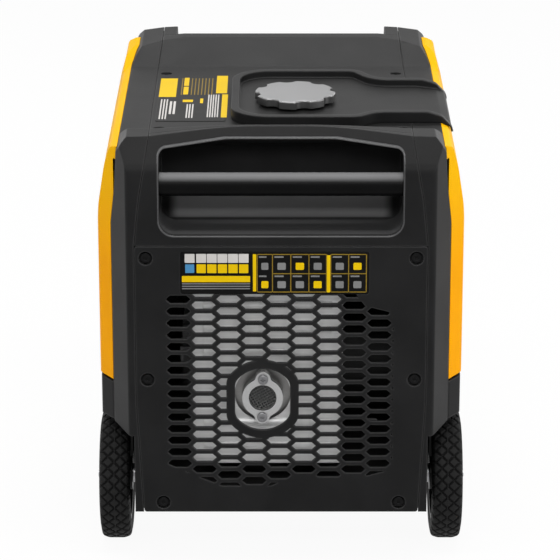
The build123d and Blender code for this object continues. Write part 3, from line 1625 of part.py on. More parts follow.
with BuildPart() as engine_switch:
    with BuildSketch(face_plane(plate_front_y + running_gap)):
        with Locations(knob_spot):
            Circle(knob_radius)
    extrude(amount=-5.0)
    with BuildSketch(face_plane(plate_front_y + running_gap + 5.0)):
        with Locations(knob_spot):
            RectangleRounded(12.0, 2 * knob_radius - 4.0, 5.5)
    extrude(amount=-12.0)
    fillet(engine_switch.edges().group_by(Axis.Y)[-1], 2.0)
    with BuildSketch(face_plane(plate_front_y + running_gap)):
        with Locations(knob_spot):
            Circle(5.0)
    extrude(amount=12.0)
engine_switch.part.label = "engine_switch"
export_step(engine_switch.part, "parts/engine_switch.step")

with BuildPart() as start_button:
    with BuildSketch(face_plane(plate_front_y - 8.0)):
        with Locations(start_spot):
            Circle(start_radius)
    extrude(amount=-14.0)
    fillet(start_button.edges().group_by(Axis.Y)[-1], 1.5)
start_button.part.label = "start_button"
export_step(start_button.part, "parts/start_button.step")

rocker_pivot = Axis((0, plate_front_y - 2.0, eco_spot[1]), (1, 0, 0))
with BuildPart() as eco_switch:
    with BuildSketch(side_plane(eco_spot[0] - rocker_half_width)):
        with Locations((plate_front_y - 2.0, eco_spot[1])):
            Polygon(
                (6.5, rocker_half_height),
                (4.6, 0.0),
                (6.5, -rocker_half_height),
                (0.0, -rocker_half_height),
                (-5.0, -6.0),
                (-5.0, 6.0),
                (0.0, rocker_half_height),
                align=None,
            )
    extrude(amount=2 * rocker_half_width)
eco_switch.part = eco_switch.part.rotate(rocker_pivot, rocker_tilt)
eco_switch.part.label = "eco_switch"
export_step(eco_switch.part, "parts/eco_switch.step")

with BuildPart() as outlet_sockets:
    with BuildSketch(face_plane(plate_front_y)):
        with Locations(*socket_spots):
            RectangleRounded(socket_flange, socket_flange, 4.0)
            with Locations((0.0, lid_hinge_rise - 4.0)):
                Rectangle(socket_flange - 8.0, 12.0)
    extrude(amount=-3.0)
    with BuildSketch(face_plane(plate_front_y)):
        with Locations(*socket_spots):
            Circle(socket_body_radius)
    extrude(amount=30.0)
    for spot_x, spot_z in socket_spots:
        for side in (1, -1):
            with BuildSketch(side_plane(spot_x + side * 17.0)):
                with Locations((lid_hinge_y, spot_z + lid_hinge_rise)):
                    Circle(lid_knuckle_radius)
                    with Locations((-lid_knuckle_radius, 0.0)):
                        Rectangle(2 * lid_knuckle_radius, 2 * lid_knuckle_radius)
                    Circle(lid_pin_radius + 0.05, mode=Mode.SUBTRACT)
            extrude(amount=side * 5.0)
    with BuildSketch(face_plane(plate_front_y + 3.0)):
        with Locations(*socket_spots):
            Circle(socket_well_radius)
    extrude(amount=socket_well_depth, mode=Mode.SUBTRACT)
    with BuildSketch(face_plane(plate_front_y + 3.0 - socket_well_depth)):
        with Locations(*socket_spots):
            with Locations((-9.5, 0.0), (9.5, 0.0)):
                Circle(2.0)
    extrude(amount=10.0, mode=Mode.SUBTRACT)
outlet_sockets.part.label = "outlet_sockets"
export_step(outlet_sockets.part, "parts/outlet_sockets.step")


def socket_lid(spot):
    # Flip lid with its hinge knuckle and pin.
    spot_x, spot_z = spot
    with BuildPart() as lid:
        with BuildSketch(face_plane(plate_front_y + 3.4)):
            with Locations((spot_x, spot_z - 1.0)):
                RectangleRounded(socket_flange - 1.0, socket_flange - 2.0, 4.0)
        extrude(amount=-3.6)
        with BuildSketch(side_plane(spot_x)):
            with Locations((lid_hinge_y, spot_z + lid_hinge_rise)):
                Circle(lid_knuckle_radius)
                with Locations((-lid_knuckle_radius + 0.4, 0.0)):
                    Rectangle(3.4, 12.0, align=(Align.MIN, Align.MAX))
        extrude(amount=16.5, both=True)
        with BuildSketch(side_plane(spot_x)):
            with Locations((lid_hinge_y, spot_z + lid_hinge_rise)):
                Circle(lid_pin_radius)
        extrude(amount=22.0, both=True)
    return lid.part


with BuildPart() as right_socket_lid:
    add(socket_lid(socket_spots[0]))
right_socket_lid.part.label = "right_socket_lid"
export_step(right_socket_lid.part, "parts/right_socket_lid.step")

with BuildPart() as left_socket_lid:
    add(socket_lid(socket_spots[1]))
left_socket_lid.part.label = "left_socket_lid"
export_step(left_socket_lid.part, "parts/left_socket_lid.step")


def breaker_button(spot):
    with BuildPart() as button:
        with BuildSketch(face_plane(plate_front_y - 8.0)):
            with Locations(spot):
                Circle(breaker_radius)
        extrude(amount=-15.0)
        fillet(button.edges().group_by(Axis.Y)[-1], 1.0)
    return button.part


with BuildPart() as right_breaker:
    add(breaker_button(breaker_spots[0]))
right_breaker.part.label = "right_breaker"
export_step(right_breaker.part, "parts/right_breaker.step")

with BuildPart() as left_breaker:
    add(breaker_button(breaker_spots[1]))
left_breaker.part.label = "left_breaker"
export_step(left_breaker.part, "parts/left_breaker.step")

with BuildPart() as ground_terminal:
    with BuildSketch(face_plane(plate_y - 8.0)):
        with Locations(ground_spot):
            Circle(3.0)
    extrude(amount=-28.0)
    with BuildSketch(face_plane(plate_front_y)):
        with Locations(ground_spot):
            RegularPolygon(6.0, 6, major_radius=False)
    extrude(amount=-5.0)
    with BuildSketch(face_plane(plate_front_y + 9.0)):
        with Locations(ground_spot):
            RegularPolygon(8.0, 8)
    extrude(amount=-7.0)
ground_terminal.part.label = "ground_terminal"
export_step(ground_terminal.part, "parts/ground_terminal.step")
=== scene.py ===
import math

import bmesh
import bpy
from mathutils import Matrix, Vector


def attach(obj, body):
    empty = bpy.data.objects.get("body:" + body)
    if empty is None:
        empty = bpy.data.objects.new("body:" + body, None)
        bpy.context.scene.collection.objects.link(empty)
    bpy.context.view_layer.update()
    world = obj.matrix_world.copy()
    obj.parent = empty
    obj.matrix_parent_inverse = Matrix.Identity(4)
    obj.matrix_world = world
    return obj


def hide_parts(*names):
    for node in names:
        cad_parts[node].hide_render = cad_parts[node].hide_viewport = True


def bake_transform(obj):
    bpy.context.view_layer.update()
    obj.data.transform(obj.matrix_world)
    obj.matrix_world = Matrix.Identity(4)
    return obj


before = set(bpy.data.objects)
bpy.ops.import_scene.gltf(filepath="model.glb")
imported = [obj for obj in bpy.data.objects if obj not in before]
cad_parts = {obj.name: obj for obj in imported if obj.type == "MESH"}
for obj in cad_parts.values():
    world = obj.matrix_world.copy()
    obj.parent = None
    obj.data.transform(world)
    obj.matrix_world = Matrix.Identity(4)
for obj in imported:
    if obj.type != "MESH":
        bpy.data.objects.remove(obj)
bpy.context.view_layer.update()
scene = bpy.context.scene
scene.view_settings.view_transform = "Standard"
mm = 0.001

# camera facing the exhaust end, long lens, a little above
cameraSetup = {
    "place": (0.0, -3.3974, 1.4224),
    "aim": (0.0, 0.0, 0.25263),
    "focalPixels": 3000.0,
    "framePixels": 560.0,
    "shiftPixels": -1.0,
}


def makeCamera(setup):
    data = bpy.data.cameras.new("studioCamera")
    data.sensor_width = 36.0
    data.lens = setup["focalPixels"] / setup["framePixels"] * data.sensor_width
    data.shift_x = setup["shiftPixels"] / setup["framePixels"]
    data.clip_end = 60.0
    camera = bpy.data.objects.new("studioCamera", data)
    scene.collection.objects.link(camera)
    camera.location = setup["place"]
    sight = Vector(setup["aim"]) - Vector(setup["place"])
    camera.rotation_euler = sight.to_track_quat("-Z", "Y").to_euler()
    scene.camera = camera


makeCamera(cameraSetup)
print("camera set")


# small node-tree helpers
def addNode(tree, kind, at, **settings):
    node = tree.nodes.new(kind)
    node.location = at
    for key, value in settings.items():
        setattr(node, key, value)
    return node


def setInputs(node, values):
    for key, value in values.items():
        node.inputs[key].default_value = value
    return node


def mathNode(tree, kind, first, second, at):
    node = addNode(tree, "ShaderNodeMath", at, operation=kind)
    for index, value in enumerate((first, second)):
        if isinstance(value, (int, float)):
            node.inputs[index].default_value = value
        elif value is not None:
            tree.links.new(value, node.inputs[index])
    return node.outputs[0]


def newGroup(name, inputs, outputs):
    group = bpy.data.node_groups.new(name, "ShaderNodeTree")
    for label, kind, value in inputs:
        socket = group.interface.new_socket(name=label, in_out="INPUT", socket_type=kind)
        if value is not None:
            socket.default_value = value
    for label, kind in outputs:
        group.interface.new_socket(name=label, in_out="OUTPUT", socket_type=kind)
    start = group.nodes.new("NodeGroupInput")
    start.location = (-900, 0)
    end = group.nodes.new("NodeGroupOutput")
    end.location = (700, 0)
    return group, start, end


# moulded grain: fine pebble of an injection mould, and a slow mottle of its gloss
def buildMouldGrain():
    group, start, end = newGroup(
        "mouldGrain",
        [("Vector", "NodeSocketVector", None), ("Scale", "NodeSocketFloat", 900.0)],
        [("Height", "NodeSocketFloat"), ("Mottle", "NodeSocketFloat")],
    )
    links = group.links
    pebble = addNode(group, "ShaderNodeTexVoronoi", (-600, 200), feature="SMOOTH_F1")
    fine = addNode(group, "ShaderNodeTexNoise", (-600, -60))
    setInputs(fine, {"Detail": 3.0, "Roughness": 0.6})
    slow = addNode(group, "ShaderNodeTexNoise", (-600, -320))
    setInputs(slow, {"Scale": 16.0, "Detail": 4.0, "Roughness": 0.55})
    for node in (pebble, fine, slow):
        links.new(start.outputs["Vector"], node.inputs["Vector"])
    links.new(start.outputs["Scale"], pebble.inputs["Scale"])
    finer = mathNode(group, "MULTIPLY", start.outputs["Scale"], 2.3, (-800, -200))
    links.new(finer, fine.inputs["Scale"])
    height = mathNode(group, "ADD", pebble.outputs["Distance"], fine.outputs["Fac"], (-200, 100))
    links.new(mathNode(group, "MULTIPLY", height, 0.5, (0, 100)), end.inputs["Height"])
    links.new(slow.outputs["Fac"], end.inputs["Mottle"])
    return group


# worn edges and painted edge highlights: where the surface turns sharply, seen by comparing a rounded normal
# with the true one
def buildEdgeWearAndHighlight():
    group, start, end = newGroup(
        "edgeWearAndHighlight",
        [("Radius", "NodeSocketFloat", 0.0012), ("Strength", "NodeSocketFloat", 1.0)],
        [("Edge", "NodeSocketFloat"), ("Normal", "NodeSocketVector")],
    )
    links = group.links
    rounded = addNode(group, "ShaderNodeBevel", (-600, 100), samples=6)
    links.new(start.outputs["Radius"], rounded.inputs["Radius"])
    geometry = addNode(group, "ShaderNodeNewGeometry", (-600, -150))
    dot = addNode(group, "ShaderNodeVectorMath", (-350, 0), operation="DOT_PRODUCT")
    links.new(rounded.outputs["Normal"], dot.inputs[0])
    links.new(geometry.outputs["Normal"], dot.inputs[1])
    turned = mathNode(group, "SUBTRACT", 1.0, dot.outputs["Value"], (-150, 0))
    scaled = mathNode(group, "MULTIPLY", turned, start.outputs["Strength"], (50, 0))
    clamp = addNode(group, "ShaderNodeClamp", (250, 0))
    links.new(scaled, clamp.inputs["Value"])
    links.new(clamp.outputs["Result"], end.inputs["Edge"])
    links.new(rounded.outputs["Normal"], end.inputs["Normal"])
    return group


# thin dust that settles on faces that look up
def buildSettledDust():
    group, start, end = newGroup(
        "settledDust",
        [("Vector", "NodeSocketVector", None), ("Amount", "NodeSocketFloat", 0.2)],
        [("Dust", "NodeSocketFloat")],
    )
    links = group.links
    cloud = addNode(group, "ShaderNodeTexNoise", (-600, 150))
    setInputs(cloud, {"Scale": 38.0, "Detail": 6.0, "Roughness": 0.65})
    links.new(start.outputs["Vector"], cloud.inputs["Vector"])
    geometry = addNode(group, "ShaderNodeNewGeometry", (-600, -150))
    split = addNode(group, "ShaderNodeSeparateXYZ", (-400, -150))
    links.new(geometry.outputs["Normal"], split.inputs["Vector"])
    upward = mathNode(group, "MAXIMUM", split.outputs["Z"], 0.0, (-200, -150))
    dust = mathNode(group, "MULTIPLY", upward, cloud.outputs["Fac"], (0, 0))
    links.new(mathNode(group, "MULTIPLY", dust, start.outputs["Amount"], (200, 0)), end.inputs["Dust"])
    return group


# lines left by rolling or brushing metal
def buildBrushLines():
    group, start, end = newGroup(
        "brushLines",
        [("Vector", "NodeSocketVector", None), ("Scale", "NodeSocketFloat", 60.0)],
        [("Streak", "NodeSocketFloat"), ("Stain", "NodeSocketFloat")],
    )
    links = group.links
    streak = addNode(group, "ShaderNodeTexNoise", (-400, 150))
    setInputs(streak, {"Detail": 5.0, "Roughness": 0.7})
    links.new(start.outputs["Vector"], streak.inputs["Vector"])
    links.new(start.outputs["Scale"], streak.inputs["Scale"])
    stain = addNode(group, "ShaderNodeTexNoise", (-400, -150))
    setInputs(stain, {"Scale": 9.0, "Detail": 4.0, "Roughness": 0.6, "Distortion": 0.6})
    links.new(start.outputs["Vector"], stain.inputs["Vector"])
    links.new(streak.outputs["Fac"], end.inputs["Streak"])
    links.new(stain.outputs["Fac"], end.inputs["Stain"])
    return group


mouldGrain = buildMouldGrain()
edgeWearAndHighlight = buildEdgeWearAndHighlight()
settledDust = buildSettledDust()
brushLines = buildBrushLines()
print("finish groups built")


def useGroup(tree, group, at, **values):
    node = addNode(tree, "ShaderNodeGroup", at)
    node.node_tree = group
    for key, value in values.items():
        node.inputs[key].default_value = value
    return node


def newMaterial(name):
    material = bpy.data.materials.new(name)
    material.use_nodes = True
    tree = material.node_tree
    shader = tree.nodes["Principled BSDF"]
    coords = addNode(tree, "ShaderNodeTexCoord", (-1400, 0))
    return material, tree, shader, coords.outputs["Object"]


def toneRamp(tree, factor, dark, light, at, low=0.3, high=0.7):
    ramp = addNode(tree, "ShaderNodeValToRGB", at)
    ramp.color_ramp.elements[0].position = low
    ramp.color_ramp.elements[0].color = (*dark, 1.0)
    ramp.color_ramp.elements[1].position = high
    ramp.color_ramp.elements[1].color = (*light, 1.0)
    tree.links.new(factor, ramp.inputs["Fac"])
    return ramp.outputs["Color"]


def spread(tree, factor, low, high, at):
    node = addNode(tree, "ShaderNodeMapRange", at)
    setInputs(node, {"From Min": 0.25, "From Max": 0.75, "To Min": low, "To Max": high})
    tree.links.new(factor, node.inputs["Value"])
    return node.outputs["Result"]


def mixColour(tree, factor, first, second, at):
    node = addNode(tree, "ShaderNodeMix", at, data_type="RGBA")
    tree.links.new(factor, node.inputs["Factor"])
    tree.links.new(first, node.inputs["A"])
    node.inputs["B"].default_value = (*second, 1.0)
    return node.outputs["Result"]


# share of a face that looks up
def faceUp(tree):
    geometry = addNode(tree, "ShaderNodeNewGeometry", (-1000, 560))
    split = addNode(tree, "ShaderNodeSeparateXYZ", (-820, 560))
    tree.links.new(geometry.outputs["Normal"], split.inputs["Vector"])
    ramp = addNode(tree, "ShaderNodeMapRange", (-640, 560))
    setInputs(ramp, {"From Min": 0.45, "From Max": 0.9})
    tree.links.new(split.outputs["Z"], ramp.inputs["Value"])
    return ramp.outputs["Result"]


# moulded plastics and rubbers
plasticFinishes = {
    # the pale edge colour of these plastics is partly wear and partly a painted highlight on lips and rims
    "caseBlack": {
        "dark": (0.0105, 0.0105, 0.0107), "light": (0.0150, 0.0150, 0.0153), "edge": (0.085, 0.085, 0.085),
        "rough": (0.40, 0.50), "grain": 1500.0, "depth": 0.00006, "specular": 0.055, "rubAndHighlight": 1.6, "dust": 0.02,
        "round": 0.0030,
    },
    # painted highlight: a pale tone for the lip bead of the hand recess
    "lipHighlight": {
        "dark": (0.045, 0.045, 0.046), "light": (0.060, 0.060, 0.061), "edge": (0.09, 0.09, 0.09),
        "rough": (0.30, 0.38), "grain": 900.0, "depth": 0.00002, "specular": 0.30, "rubAndHighlight": 0.6, "dust": 0.0,
    },
    "coverYellow": {
        "dark": (0.86, 0.35, 0.001), "light": (0.93, 0.385, 0.0015), "edge": (0.95, 0.45, 0.004),
        "rough": (0.40, 0.50), "grain": 700.0, "depth": 0.00001, "specular": 0.02, "rubAndHighlight": 0.5, "dust": 0.0,
        # painted light: the yellow turns paler towards the top
        "sheen": (0.95, 0.60, 0.06, 1.0), "paintedLightCrown": {"span": (0.34, 0.45), "tone": (0.88, 0.46, 0.002)},
    },
    "rimBlack": {
        "dark": (0.0050, 0.0050, 0.0050), "light": (0.0080, 0.0080, 0.0080), "edge": (0.04, 0.04, 0.04),
        "rough": (0.36, 0.48), "grain": 1100.0, "depth": 0.00004, "specular": 0.25, "rubAndHighlight": 1.5, "dust": 0.03,
    },
    "softRubber": {
        "dark": (0.010, 0.010, 0.010), "light": (0.016, 0.016, 0.016), "edge": (0.03, 0.03, 0.03),
        "rough": (0.62, 0.75), "grain": 1300.0, "depth": 0.00006, "specular": 0.25, "rubAndHighlight": 0.8, "dust": 0.05,
    },
    "controlGrey": {
        "dark": (0.045, 0.045, 0.048), "light": (0.060, 0.060, 0.063), "edge": (0.12, 0.12, 0.12),
        "rough": (0.42, 0.52), "grain": 1200.0, "depth": 0.00005, "specular": 0.4, "rubAndHighlight": 1.0, "dust": 0.06,
    },
    "knobRed": {
        "dark": (0.36, 0.012, 0.010), "light": (0.44, 0.018, 0.014), "edge": (0.55, 0.06, 0.05),
        "rough": (0.26, 0.36), "grain": 900.0, "depth": 0.00002, "specular": 0.5, "rubAndHighlight": 0.8, "dust": 0.03,
    },
    "buttonGreen": {
        "dark": (0.014, 0.17, 0.030), "light": (0.020, 0.21, 0.040), "edge": (0.06, 0.30, 0.09),
        "rough": (0.26, 0.36), "grain": 900.0, "depth": 0.00002, "specular": 0.5, "rubAndHighlight": 0.8, "dust": 0.03,
    },
    "buttonWhite": {
        "dark": (0.56, 0.55, 0.52), "light": (0.64, 0.63, 0.60), "edge": (0.72, 0.71, 0.68),
        "rough": (0.30, 0.40), "grain": 900.0, "depth": 0.00002, "specular": 0.5, "rubAndHighlight": 0.6, "dust": 0.04,
    },
    "labelFilm": {
        "dark": (0.0030, 0.0030, 0.0030), "light": (0.0050, 0.0050, 0.0050), "edge": (0.02, 0.02, 0.02),
        "rough": (0.34, 0.44), "grain": 500.0, "depth": 0.00001, "specular": 0.06, "rubAndHighlight": 0.4, "dust": 0.01,
    },
    "chassisPaint": {
        "dark": (0.012, 0.012, 0.0125), "light": (0.018, 0.018, 0.0185), "edge": (0.10, 0.10, 0.10),
        "rough": (0.34, 0.46), "grain": 420.0, "depth": 0.00005, "specular": 0.45, "rubAndHighlight": 1.6, "dust": 0.10,
    },
    "gripPaintLitTop": {
        "dark": (0.0022, 0.0022, 0.0023), "light": (0.0032, 0.0032, 0.0033), "edge": (0.04, 0.04, 0.04),
        "rough": (0.30, 0.38), "grain": 600.0, "depth": 0.00002, "specular": 0.05, "rubAndHighlight": 0.4, "dust": 0.0,
        # painted highlight: a paler tone on faces that look up
        "top": (0.21, 0.21, 0.212),
    },
    "tubePaint": {
        "dark": (0.0030, 0.0030, 0.0032), "light": (0.0045, 0.0045, 0.0048), "edge": (0.04, 0.04, 0.04),
        "rough": (0.22, 0.30), "grain": 600.0, "depth": 0.00002, "specular": 0.09, "rubAndHighlight": 0.8, "dust": 0.01,
    },
}

# the rear hood is the same plastic, with painted light in its hand recess: a paler ledge and back wall stand
# in for light falling there
plasticFinishes["hoodBlackLitRecess"] = {
    **plasticFinishes["caseBlack"],
    # painted light: paler tones for the recess ledge and back wall
    "recess": [
        {
            "halfWidth": 0.140, "front": -0.260, "back": -0.205, "low": 0.390, "high": 0.418,
            "fade": 0.006, "step": 0.001, "tone": (0.056, 0.056, 0.057),
        },
        {
            "halfWidth": 0.127, "front": -0.204, "back": -0.185, "low": 0.392, "high": 0.444,
            "fade": 0.014, "step": 0.001, "tone": (0.27, 0.27, 0.272),
        },
    ],
}
plainRound = 0.0012
dustTone = (0.30, 0.29, 0.27)


# painted light: paler upper part of a tall panel, darker towards the bottom
def paintedLightByHeight(tree, place, low, high):
    split = addNode(tree, "ShaderNodeSeparateXYZ", (-1000, 560))
    tree.links.new(place, split.inputs["Vector"])
    ramp = addNode(tree, "ShaderNodeMapRange", (-800, 560))
    setInputs(ramp, {"From Min": low, "From Max": high})
    tree.links.new(split.outputs["Z"], ramp.inputs["Value"])
    return ramp.outputs["Result"]


# painted light on the walls of a moulded recess: a paler tone, found by their place on the part
def paintedRecessLightMask(tree, place, setup):
    split = addNode(tree, "ShaderNodeSeparateXYZ", (-1200, 700))
    tree.links.new(place, split.inputs["Vector"])
    aside = mathNode(tree, "ABSOLUTE", split.outputs["X"], None, (-1000, 800))
    inside = None
    for value, none, full in (
        (aside, setup["halfWidth"], setup["halfWidth"] - setup["fade"]),
        (split.outputs["Y"], setup["front"], setup["front"] + setup["step"]),
        (split.outputs["Y"], setup["back"], setup["back"] - setup["step"]),
        (split.outputs["Z"], setup["low"], setup["low"] + setup["fade"]),
        (split.outputs["Z"], setup["high"], setup["high"] - setup["fade"]),
    ):
        edge = addNode(tree, "ShaderNodeMapRange", (-800, 700), interpolation_type="SMOOTHSTEP")
        setInputs(edge, {"From Min": none, "From Max": full})
        tree.links.new(value, edge.inputs["Value"])
        share = edge.outputs["Result"]
        inside = share if inside is None else mathNode(tree, "MULTIPLY", inside, share, (-600, 700))
    return inside


def makePlastic(name, finish):
    material, tree, shader, place = newMaterial(name)
    links = tree.links
    grain = useGroup(tree, mouldGrain, (-1100, 200), Scale=finish["grain"])
    rounding = finish.get("round", plainRound)
    rubAndHighlight = useGroup(tree, edgeWearAndHighlight, (-1100, -100), Radius=rounding, Strength=finish["rubAndHighlight"])
    dust = useGroup(tree, settledDust, (-1100, -350), Amount=finish["dust"])
    links.new(place, grain.inputs["Vector"])
    links.new(place, dust.inputs["Vector"])
    base = toneRamp(tree, grain.outputs["Mottle"], finish["dark"], finish["light"], (-800, 250))
    # edge colour: partly wear, partly a painted highlight
    wornAndLit = mixColour(tree, rubAndHighlight.outputs["Edge"], base, finish["edge"], (-480, 250))
    # painted light: paler colour higher up the panel
    if "paintedLightCrown" in finish:
        paintedLightCrown = finish["paintedLightCrown"]
        wornAndLit = mixColour(tree, paintedLightByHeight(tree, place, *paintedLightCrown["span"]), wornAndLit, paintedLightCrown["tone"], (-370, 300))
    # painted light: paler ledge and back wall in the hand recess
    for litArea in finish.get("recess", []):
        wornAndLit = mixColour(tree, paintedRecessLightMask(tree, place, litArea), wornAndLit, litArea["tone"], (-370, 420))
    # painted highlight: a paler upper side where the top lamps fall
    if "top" in finish:
        wornAndLit = mixColour(tree, faceUp(tree), wornAndLit, finish["top"], (-370, 560))
    dusty = mixColour(tree, dust.outputs["Dust"], wornAndLit, dustTone, (-260, 250))
    links.new(dusty, shader.inputs["Base Color"])
    links.new(spread(tree, grain.outputs["Mottle"], *finish["rough"], (-480, 0)), shader.inputs["Roughness"])
    bump = addNode(tree, "ShaderNodeBump", (-300, -250))
    setInputs(bump, {"Strength": 1.0, "Distance": finish["depth"]})
    links.new(grain.outputs["Height"], bump.inputs["Height"])
    links.new(rubAndHighlight.outputs["Normal"], bump.inputs["Normal"])
    links.new(bump.outputs["Normal"], shader.inputs["Normal"])
    shader.inputs["Specular IOR Level"].default_value = finish["specular"]
    shader.inputs["Specular Tint"].default_value = finish.get("sheen", (1.0, 1.0, 1.0, 1.0))
    return material


# bare and plated metals, with their rolling lines along one axis
metalEdge = {"Radius": 0.0008, "Strength": 0.8}
metalFinishes = {
    "zincScrew": {
        "dark": (0.13, 0.13, 0.135), "light": (0.24, 0.24, 0.245), "rough": (0.30, 0.45),
        "stretch": (1.0, 1.0, 1.0), "lines": 300.0, "depth": 0.00002,
    },
    "zincAxle": {
        "dark": (0.50, 0.50, 0.51), "light": (0.66, 0.66, 0.67), "rough": (0.28, 0.42),
        "stretch": (1.0, 8.0, 8.0), "lines": 60.0, "depth": 0.00002,
    },
    "capAlloy": {
        "dark": (0.175, 0.175, 0.177), "light": (0.215, 0.215, 0.217), "rough": (0.34, 0.44),
        # painted reflection: the sides are darker, standing in for the dark tray mirrored in them
        "stretch": (1.0, 1.0, 1.0), "lines": 500.0, "depth": 0.00002, "side": (0.16, 0.16, 0.16),
    },
    "shieldSteel": {
        "dark": (0.62, 0.62, 0.62), "light": (0.86, 0.86, 0.855), "rough": (0.58, 0.70),
        "stretch": (1.0, 10.0, 14.0), "lines": 14.0, "depth": 0.00006,
    },
    "flangeSteel": {
        "dark": (0.34, 0.34, 0.34), "light": (0.44, 0.44, 0.44), "rough": (0.40, 0.52),
        "stretch": (1.0, 1.0, 1.0), "lines": 420.0, "depth": 0.00003,
    },
    "mufflerSteel": {
        "dark": (0.26, 0.255, 0.25), "light": (0.40, 0.395, 0.39), "rough": (0.38, 0.52),
        "stretch": (1.0, 6.0, 6.0), "lines": 18.0, "depth": 0.00005,
    },
    "castAlloy": {
        "dark": (0.34, 0.34, 0.345), "light": (0.46, 0.46, 0.465), "rough": (0.48, 0.62),
        "stretch": (1.0, 1.0, 1.0), "lines": 380.0, "depth": 0.00012,
    },
    "rotorIron": {
        "dark": (0.10, 0.10, 0.10), "light": (0.18, 0.18, 0.18), "rough": (0.42, 0.56),
        "stretch": (1.0, 1.0, 1.0), "lines": 260.0, "depth": 0.00008,
    },
    "copperCoil": {
        "dark": (0.36, 0.13, 0.05), "light": (0.52, 0.20, 0.08), "rough": (0.34, 0.46),
        "stretch": (12.0, 1.0, 1.0), "lines": 160.0, "depth": 0.00020,
    },
    "brassStud": {
        "dark": (0.48, 0.34, 0.12), "light": (0.62, 0.46, 0.18), "rough": (0.30, 0.42),
        "stretch": (1.0, 1.0, 1.0), "lines": 300.0, "depth": 0.00002,
    },
    "screenWire": {
        "dark": (0.10, 0.10, 0.10), "light": (0.22, 0.218, 0.215), "rough": (0.36, 0.50),
        "stretch": (1.0, 1.0, 1.0), "lines": 700.0, "depth": 0.00003,
    },
}


def makeMetal(name, finish):
    material, tree, shader, place = newMaterial(name)
    links = tree.links
    mapping = addNode(tree, "ShaderNodeMapping", (-1200, 100))
    mapping.inputs["Scale"].default_value = finish["stretch"]
    links.new(place, mapping.inputs["Vector"])
    lines = useGroup(tree, brushLines, (-1000, 100), Scale=finish["lines"])
    links.new(mapping.outputs["Vector"], lines.inputs["Vector"])
    rubAndHighlight = useGroup(tree, edgeWearAndHighlight, (-1000, -200), **metalEdge)
    both = mathNode(tree, "ADD", lines.outputs["Streak"], lines.outputs["Stain"], (-780, 200))
    shared = mathNode(tree, "MULTIPLY", both, 0.5, (-640, 200))
    base = toneRamp(tree, shared, finish["dark"], finish["light"], (-460, 250))
    # painted reflection: faces that do not look up take a darker tone
    if "side" in finish:
        upright = mathNode(tree, "SUBTRACT", 1.0, faceUp(tree), (-460, 480))
        base = mixColour(tree, upright, base, finish["side"], (-240, 420))
    links.new(base, shader.inputs["Base Color"])
    links.new(spread(tree, shared, *finish["rough"], (-460, 0)), shader.inputs["Roughness"])
    bump = addNode(tree, "ShaderNodeBump", (-300, -250))
    setInputs(bump, {"Strength": 1.0, "Distance": finish["depth"]})
    links.new(lines.outputs["Streak"], bump.inputs["Height"])
    links.new(rubAndHighlight.outputs["Normal"], bump.inputs["Normal"])
    links.new(bump.outputs["Normal"], shader.inputs["Normal"])
    shader.inputs["Metallic"].default_value = 1.0
    return material


# tyre rubber: dull blocks, black grooves from the tread attribute
rubberFinish = {
    "dark": (0.008, 0.008, 0.008), "light": (0.013, 0.013, 0.013), "groove": (0.0015, 0.0015, 0.0015),
    "rough": (0.58, 0.72), "grain": 1200.0, "depth": 0.00008, "specular": 0.12,
}


def makeTyreRubber(finish):
    material, tree, shader, place = newMaterial("tyreRubber")
    links = tree.links
    grain = useGroup(tree, mouldGrain, (-1100, 200), Scale=finish["grain"])
    links.new(place, grain.inputs["Vector"])
    groove = addNode(tree, "ShaderNodeAttribute", (-1100, -100), attribute_name="tread")
    base = toneRamp(tree, grain.outputs["Mottle"], finish["dark"], finish["light"], (-800, 250))
    grooved = mixColour(tree, groove.outputs["Fac"], base, finish["groove"], (-450, 250))
    links.new(grooved, shader.inputs["Base Color"])
    links.new(spread(tree, grain.outputs["Mottle"], *finish["rough"], (-450, 0)), shader.inputs["Roughness"])
    addGrainBump(tree, shader, grain, finish["depth"])
    shader.inputs["Specular IOR Level"].default_value = finish["specular"]
    return material


def addGrainBump(tree, shader, grain, depth):
    bump = addNode(tree, "ShaderNodeBump", (-300, -250))
    setInputs(bump, {"Strength": 1.0, "Distance": depth})
    tree.links.new(grain.outputs["Height"], bump.inputs["Height"])
    tree.links.new(bump.outputs["Normal"], shader.inputs["Normal"])


# rope, foam, window and inks: two tones led by the grain's height or by its slow mottle
grainFinishes = {
    "ropeBraid": {
        "dark": (0.02, 0.02, 0.02), "light": (0.07, 0.07, 0.068), "led": "Height", "rough": (0.75, 0.9),
        "grain": 2600.0, "depth": 0.0002, "surface": {"Sheen Weight": 0.3},
    },
    "displayWindow": {
        "dark": (0.008, 0.010, 0.012), "light": (0.013, 0.016, 0.019), "led": "Mottle", "rough": (0.10, 0.16),
        "grain": 300.0, "depth": None, "surface": {"Coat Weight": 0.6},
    },
    "filterFoam": {
        "dark": (0.004, 0.004, 0.004), "light": (0.03, 0.03, 0.03), "led": "Height", "rough": (0.85, 0.95),
        "grain": 520.0, "depth": 0.0008, "surface": {"Specular IOR Level": 0.1},
    },
}
inkSurface = {
    "led": "Mottle", "rough": (0.36, 0.46), "grain": 1400.0, "depth": 0.00001,
    "surface": {"Specular IOR Level": 0.05},
}
inkTones = {
    "printYellow": ((0.70, 0.46, 0.002), (0.76, 0.51, 0.003)),
    "printPale": ((0.52, 0.50, 0.48), (0.62, 0.60, 0.58)),
    "printGrey": ((0.16, 0.16, 0.16), (0.22, 0.22, 0.22)),
    "printOchre": ((0.20, 0.13, 0.015), (0.26, 0.17, 0.02)),
    "printBlue": ((0.06, 0.22, 0.42), (0.08, 0.27, 0.48)),
}
for name, (dark, light) in inkTones.items():
    grainFinishes[name] = {"dark": dark, "light": light, **inkSurface}


